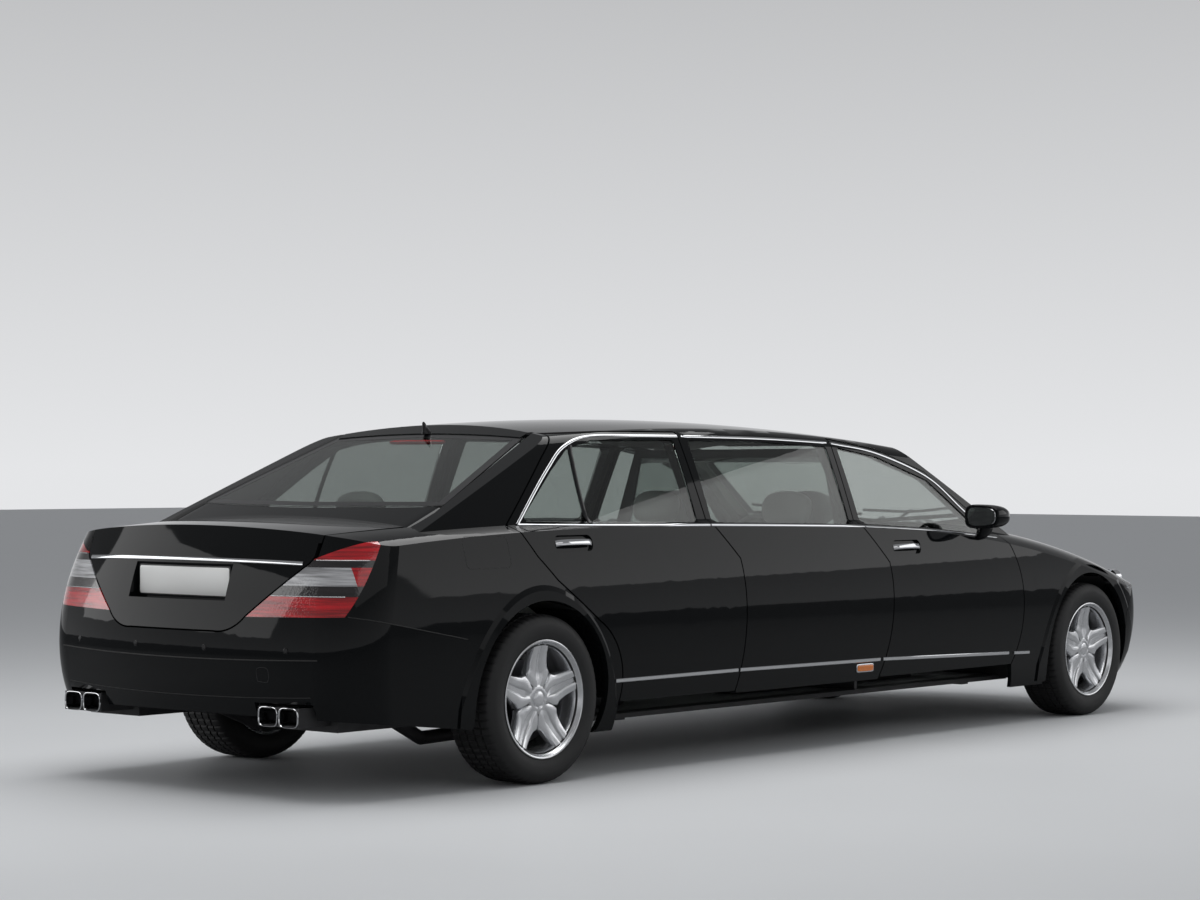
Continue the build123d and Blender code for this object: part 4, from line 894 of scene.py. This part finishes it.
def cushion_shape(p, q):
    """Seat cushion: crowned, side rolls raised, cross channels in the middle, sides drawn in."""
    top = max(0.0, q.z)
    crown = (1 - q.x * q.x) * (1 - q.y * q.y)
    roll = math.exp(-((abs(p.y) - 0.205) / 0.035) ** 2)
    dip = seam(p.x, (-0.15, -0.05, 0.05, 0.15), 0.007) * (abs(p.y) < 0.150)
    line = seam(abs(p.y), (0.158,), 0.006)
    rise = top * (0.012 * crown + 0.012 * roll - 0.007 * dip - 0.008 * line) - 0.010 * top
    return Vector((p.x, p.y * (1 - 0.02 * (1 - q.x ** 2)), p.z + rise))


def back_shape(p, q):
    """Seat back: narrower shoulders, side rolls, cross channels on its front."""
    front = max(0.0, q.x)
    high = max(0.0, q.z)
    width = 1 - 0.13 * high ** 3 - 0.015 * (1 - q.z ** 2)
    roll = math.exp(-((abs(p.y) - 0.200) / 0.035) ** 2)
    dip = seam(p.z, (-0.20, -0.10, 0.0, 0.10, 0.20), 0.007) * (abs(p.y) < 0.145)
    line = seam(abs(p.y), (0.152,), 0.006)
    crown = (1 - q.y ** 2) * (1 - q.z ** 2)
    swell = front * (0.010 * crown + 0.010 * roll - 0.006 * dip - 0.007 * line - 0.010)
    return Vector((p.x + swell, p.y * width, p.z))


def head_shape(p, q):
    """Headrest: crowned in front, narrower below, its top lower at the sides."""
    crown = (1 - q.y ** 2) * (1 - q.z ** 2)
    return Vector((p.x + max(0.0, q.x) * 0.004 * crown, p.y * (1 - 0.10 * max(0.0, -q.z)),
                   p.z - max(0.0, q.z) * 0.012 * q.y ** 2))


def leaned(v, centre):
    """Point of a back or headrest, turned back about the seat's rear edge."""
    p = Vector(centre) + v - BACK_PIVOT
    c, n = math.cos(BACK_TILT), math.sin(BACK_TILT)
    return Vector((p.x * c + p.z * n, p.y, -p.x * n + p.z * c)) + BACK_PIVOT


cushion = soft_block((0.506, 0.496, 0.156), 7, (40, 36, 8), cushion_shape)
back = soft_block((0.118, 0.496, 0.626), 6, (8, 36, 48), back_shape)
head = soft_block((0.092, 0.270, 0.168), 3.2, (8, 16, 12), head_shape)
base = soft_block((0.40, 0.36, 0.12), 9, (6, 6, 3))
rods = []
for d in (-0.06, 0.06):
    line = [leaned(Vector((0, d, h)), (-0.283, 0, 0)) for h in (0.985, 1.01, 1.06)]
    rods.append(swept(line, [Vector((1, 0, 0))] * 3, oval_profile(0.006, 0.006, 10)))
SEAT_PIECES = (
    # name, form, material, slot
    ("cushion", moved(cushion, lambda v: v + Vector(CUSHION_AT)), "leather", "leather"),
    ("back", moved(back, lambda v: leaned(v, BACK_AT)), "leather", "leather"),
    ("headrest", moved(head, lambda v: leaned(v, HEAD_AT)), "leather", "leather"),
    ("seat_base", moved(base, lambda v: v + Vector((0.01, 0, 0.296))), "plastic", "black_plastic"),
    ("headrest_rods", joined(rods), "satin_chrome", "steel"),
)
for tag, x, y, way in SEATS:
    for kind, form, mat, slot in SEAT_PIECES:
        form = moved(form, lambda v: Vector((x + way * v.x, y + way * v.y, v.z)))
        piece = solid(f"{kind}_{tag}", form, mat)
        if mat == "leather":
            piece.modifiers.remove(piece.modifiers["edges"])
            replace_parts(piece, "seats")


# ---------- cabin
def wheel_frame(u, v, w):
    """Point on the steering wheel: u up its face, v to the left, w towards the driver."""
    tilt = math.radians(16)
    out = Vector((-math.cos(tilt), 0, math.sin(tilt)))
    up = Vector((math.sin(tilt), 0, math.cos(tilt)))
    return Vector((1.150, 0.380, 0.855)) + up * u + Vector((0, 1, 0)) * v + out * w


GRIP_RADIUS, GRIP_HALF = 0.185, 0.0145     # of the steering wheel's middle line and of its section
GRIP = [(GRIP_RADIUS + p, q) for p, q in oval_profile(GRIP_HALF, GRIP_HALF, 12)]
grip = moved(ring_grid(lambda i: GRIP, 48), lambda v: wheel_frame(*v))
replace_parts(solid("wheel_rim", grip, "dark_leather", "steering_wheel"), "steering_wheel")
hub = soft_block((0.15, 0.19, 0.045), 3.5, (12, 14, 5))
hub = moved(hub, lambda v: wheel_frame(v.x - 0.005, v.y, v.z + 0.002))
solid("wheel_hub", hub, "dark_leather", "steering_wheel")
arms = []
for (u0, v0), (u1, v1) in (((0.0, 0.06), (0.03, 0.178)), ((0.0, -0.06), (0.03, -0.178)),
                           ((-0.05, 0.0), (-0.176, 0.0))):
    line = [wheel_frame(u0 + (u1 - u0) * t, v0 + (v1 - v0) * t, 0.002) for t in (0, 0.5, 1)]
    arms.append(swept(line, [wheel_frame(0, 0, 1) - wheel_frame(0, 0, 0)] * 3,
                      rounded_profile(0.036, 0.008, 0.008)))
solid("wheel_spokes", joined(arms), "satin_chrome", "steering_wheel")


def bar(name, size, centre, mat, power, counts, body="body"):
    """Rounded block about a centre."""
    solid(name, moved(soft_block(size, power, counts), lambda v: v + Vector(centre)), mat, body)


bar("dash_trim", (0.012, 1.30, 0.052), (1.334, 0, 0.770), "wood", 6, (3, 40, 6))
bar("dash_screen", (0.03, 0.24, 0.105), (1.335, 0.0, 0.848), "gloss_black", 8, (3, 16, 8))
bar("instrument_hood", (0.12, 0.34, 0.060), (1.345, 0.380, 0.905), "dark_leather", 4,
    (10, 24, 8))
bar("instruments", (0.01, 0.29, 0.10), (1.328, 0.380, 0.850), "gloss_black", 8, (3, 16, 8))
bar("console_top", (0.50, 0.17, 0.02), (1.0, 0, 0.648), "wood", 8, (20, 8, 3))
for i, (y, z) in enumerate(((-0.5775, 0.835), (-0.1785, 0.765), (0.1785, 0.765), (0.5775, 0.835))):
    bar(f"air_vent_{i}", (0.02, 0.10, 0.045), (1.332, y, z), "plastic", 8, (3, 10, 6))
bar("cabin_mirror", (0.03, 0.24, 0.065), (1.02, 0, 1.335), "gloss_black", 6, (4, 16, 8))

# boot lining: floor carpet and the side panels that hide the wheel housings
bar("boot_carpet", (0.70, 1.08, 0.010), (-2.23, 0, 0.5265), "carpet", 14, (10, 16, 2))
bar("boot_well_carpet", (0.40, 1.08, 0.010), (-2.83, 0, 0.4515), "carpet", 14, (8, 16, 2))
for side, s in SIDES:
    bar(f"boot_side_{side}", (0.94, 0.012, 0.40), (-2.345, s * 0.574, 0.722), "carpet", 14,
        (16, 2, 10))

# door cards and armrests; they follow the doors
for end, x0, x1, top in (("front", 0.50, 1.42, 0.93), ("rear", -1.50, -0.86, 0.98)):
    for side, s in SIDES:
        body, tag, mid, length = f"{end}_door_{side}", f"{end}_{side}", (x0 + x1) / 2, x1 - x0
        bar(f"door_card_{tag}", (length, 0.030, top - 0.36), (mid, s * 0.828, (top + 0.36) / 2), "leather",
            9, (20, 4, 14), body)
        bar(f"armrest_{tag}", (length * 0.55, 0.075, 0.06), (mid, s * 0.790, 0.66), "dark_leather",
            5, (20, 8, 8), body)
        bar(f"door_trim_{tag}", (length * 0.92, 0.012, 0.030), (mid, s * 0.813, 0.80), "wood",
            7, (20, 3, 5), body)
bar("rear_shelf", (0.56, 1.26, 0.012), (-2.13, 0, 0.957), "dark_leather", 12, (12, 24, 3))
bar("carpet_front", (1.20, 1.44, 0.010), (1.02, 0, 0.2405), "carpet", 14, (10, 20, 2))
bar("carpet_rear", (1.90, 1.44, 0.010), (-0.62, 0, 0.2405), "carpet", 14, (10, 20, 2))

# glass of the partition
pane = soft_block((0.008, 1.30, 0.40), 12, (2, 20, 10),
                  lambda p, q: Vector((p.x, p.y * (1 - 0.06 * max(0, q.z)), p.z)))
solid("partition_glass", moved(pane, lambda v: v + Vector((0.450, 0, 1.145))), "side_glass")


# ---------- lamps, grille and glass edges
def outline_strip(name, yz, caster):
    """Black band round a window, along an outline of (y, z) corners."""
    pts, normals = laid(outline(yz, STEP), caster)
    strip = swept(pts, normals, flat_profile(0.020, 0.0012, 0.0003), closed=True)
    solid(name, strip, "gloss_black")


BACKLIGHT_EDGE = ((-0.53, 1.398), (0, 1.414), (0.53, 1.398), (0.672, 1.132), (0, 1.126), (-0.672, 1.132))
outline_strip("backlight_edge", BACKLIGHT_EDGE, on_rear)
SCREEN_EDGE = ((-0.56, 1.405), (0.56, 1.405), (0.688, 1.052), (0, 1.012), (-0.688, 1.052))
outline_strip("windscreen_edge", SCREEN_EDGE, on_front)

# panel between the rear window's lower edge and the boot lid
WINDOW_TREE = tree("backlight")
DECK_FRONT_X = -2.558         # ends ahead of the boot lid, whose front edge swings down as it opens
DECK_HALF, DECK_COLUMNS = 0.722, 49
WINDOW_HALF = 0.655           # rays are cast at the glass no further out than this
rows = []
for i in range(DECK_COLUMNS):
    y = DECK_HALF * (i / (DECK_COLUMNS // 2) - 1)
    inside = max(-WINDOW_HALF, min(WINDOW_HALF, y))
    edge = 1.112 + 0.010 * (inside / 0.694) ** 2            # lower edge of the glass, higher at the sides
    low, high = (WINDOW_TREE.ray_cast(Vector((-5, inside, edge + up)), Vector((1, 0, 0)))[0]
                 for up in (0.010, 0.045))
    down = (low - high).normalized()
    start = low + down * (0.010 / abs(down.z) + 0.0015)
    end = start + down * ((start.x - DECK_FRONT_X) / abs(down.x))
    out = Vector((down.z, 0, -down.x)).normalized()
    out = out if out.z > 0 else -out
    drop = 0.010 * max(0.0, (abs(y) - 0.66) / 0.062) ** 2   # the panel curves down at its ends
    for t in STATIONS:
        p = start.lerp(end, t)
        rows.append(Vector((p.x, y, p.z - (y - inside) ** 2)) - out * drop)
under = [p + Vector((0.002, 0, -0.005)) for p in rows]
solid("rear_deck", (rows + under, sheet_faces(DECK_COLUMNS, len(STATIONS))), "paint")


def inset_sheet(name, columns, span, depth, thick, mat, steps=8):
    """Sheet that follows the front of the car at a depth, behind an opening. columns are (y, low z, high z),
    and span gives the heights of the body just below and above the opening."""
    front = []
    for y, low, high in columns:
        below, above = on_front(y, span[0])[0], on_front(y, span[1])[0]
        for j in range(steps + 1):
            z = low + (high - low) * j / steps
            x = below.x + (above.x - below.x) * (z - span[0]) / (span[1] - span[0])
            front.append(Vector((x - depth, y, z)))
    back_side = [p - Vector((thick, 0, 0)) for p in front]
    solid(name, (front + back_side, sheet_faces(len(columns), steps + 1)), mat)


def lamp_piece(name, rows, steps, x, y, z, mat):
    """Turned piece of a front lamp; its rows are (radius, distance ahead of x)."""
    form = moved(lathe(rows, steps), lambda v: Vector((x + v[2], y + v[0], z + v[1])))
    solid(name, form, mat)


def height_at(y, inner, corner, outer):
    """Height at y of a line that bends at a corner; the three points are (y, z)."""
    (y0, z0), (y1, z1) = (inner, corner) if y < corner[0] else (corner, outer)
    return z0 + (z1 - z0) * (y - y0) / (y1 - y0)


# lower air intake: mesh plate, bars and fog lamps
across = [0.535 * (i / 16 - 1) for i in range(33)]
INTAKE_SPAN, GRILLE_SPAN = (0.284, 0.446), (0.545, 0.790)
inset_sheet("intake_mesh", [(y, 0.298, 0.432) for y in across], INTAKE_SPAN, 0.055, 0.004, "mesh")
for k in range(4):
    z = 0.322 + 0.029 * k
    inset_sheet(f"intake_bar_{k}", [(y, z, z + 0.007) for y in across], INTAKE_SPAN, 0.034, 0.020,
                "plastic", 1)
FOG_LAMP = ((0.0, -0.045), (0.020, -0.040), (0.036, -0.012), (0.040, 0.0), (0.044, 0.001), (0.046, -0.004),
            (0.046, -0.050))
FOG_LENS = ((0.0, 0.004), (0.020, 0.003), (0.036, -0.001), (0.039, -0.004), (0.036, -0.007), (0.0, -0.006))
spot, _ = on_front(-0.44, 0.446)
for side, s in SIDES:
    lamp_piece(f"fog_lamp_{side}", FOG_LAMP, 40, spot.x - 0.024, s * 0.44, 0.367, "chrome")
    lamp_piece(f"fog_lens_{side}", FOG_LENS, 40, spot.x - 0.026, s * 0.44, 0.367, "clear")

# mesh behind the grille
across = [0.325 * (i / 12 - 1) for i in range(25)]
inset_sheet("grille_mesh", [(y, 0.572, 0.752) for y in across], GRILLE_SPAN, 0.078, 0.003, "mesh")

# headlamp housings, with two reflector bowls and lenses in each
LAMP_COLUMNS, LAMP_ROWS = 22, 9
for side, s in SIDES:
    inner, outer = [], []
    for i in range(LAMP_COLUMNS):
        y = 0.462 + 0.0205 * i
        low = height_at(y, (0.468, 0.622), (0.640, 0.590), (0.960, 0.655))
        high = height_at(y, (0.452, 0.742), (0.760, 0.772), (0.960, 0.790))
        for j in range(LAMP_ROWS):
            z = low + 0.004 + (high - low - 0.016) * j / (LAMP_ROWS - 1)
            spot, normal, _, _ = LAMP_TREE.ray_cast(Vector((5, -y, z)), Vector((-1, 0, 0)))
            if spot is None:
                spot, normal, _, _ = LAMP_TREE.find_nearest(Vector((3.1 - 0.9 * (y - 0.45) ** 2, -y, z)))
            normal = Vector((abs(normal.x), -abs(normal.y), 0.2)).normalized()
            for store, depth in ((inner, 0.030), (outer, 0.034)):
                p = spot - normal * depth
                store.append(Vector((p.x - 0.030, s * abs(p.y), p.z)))
    housing = inner + outer, sheet_faces(LAMP_COLUMNS, LAMP_ROWS)
    solid(f"headlamp_housing_{side}", housing, "reflector")
    for k, (y, z, r) in enumerate(((0.565, 0.676, 0.050), (0.685, 0.688, 0.044))):
        x = on_front(-y, z)[0].x - 0.040
        bowl = ((0.0, -0.030), (r * 0.5, -0.024), (r * 0.9, 0.0), (r, 0.018), (r * 1.08, 0.018),
                (r * 1.08, -0.034))
        lens = ((0.0, 0.016), (r * 0.3, 0.0135), (r * 0.52, 0.006), (r * 0.6, -0.004), (r * 0.6, -0.02))
        lamp_piece(f"headlamp_bowl_{side}_{k}", bowl, 40, x, s * y, z, "chrome")
        lamp_piece(f"headlamp_lens_{side}_{k}", lens, 32, x, s * y, z, "gloss_black")

# wipers, parked at the foot of the windscreen
BLADE_PROFILE = [(-0.005, -0.005), (-0.006, 0.004), (0, 0.009), (0.006, 0.004), (0.005, -0.005)]
for tag, blade, pivot_y in (("left", ((0.64, 1.088), (0.36, 1.056), (0.06, 1.040)), 0.52),
                            ("right", ((0.02, 1.062), (-0.28, 1.056), (-0.58, 1.078)), -0.10)):
    pts, normals = laid(curve(blade, STEP), on_front, 0.006)
    mid, up = pts[len(pts) // 2], normals[len(normals) // 2]
    foot = on_front(pivot_y, 1.016, 0.004)[0] + Vector((0.030, 0, -0.016))
    arm = [foot, foot.lerp(mid, 0.5) + up * 0.012, mid + up * 0.010]
    arm = swept(arm, [up] * 3, flat_profile(0.007, 0.003, 0.003))
    wiper = joined([swept(pts, normals, BLADE_PROFILE), arm])
    solid(f"wiper_{tag}", wiper, "plastic")

bar("high_brake_lamp", (0.020, 0.320, 0.020), (-1.765, 0, 1.382), "red", 6, (4, 20, 4))
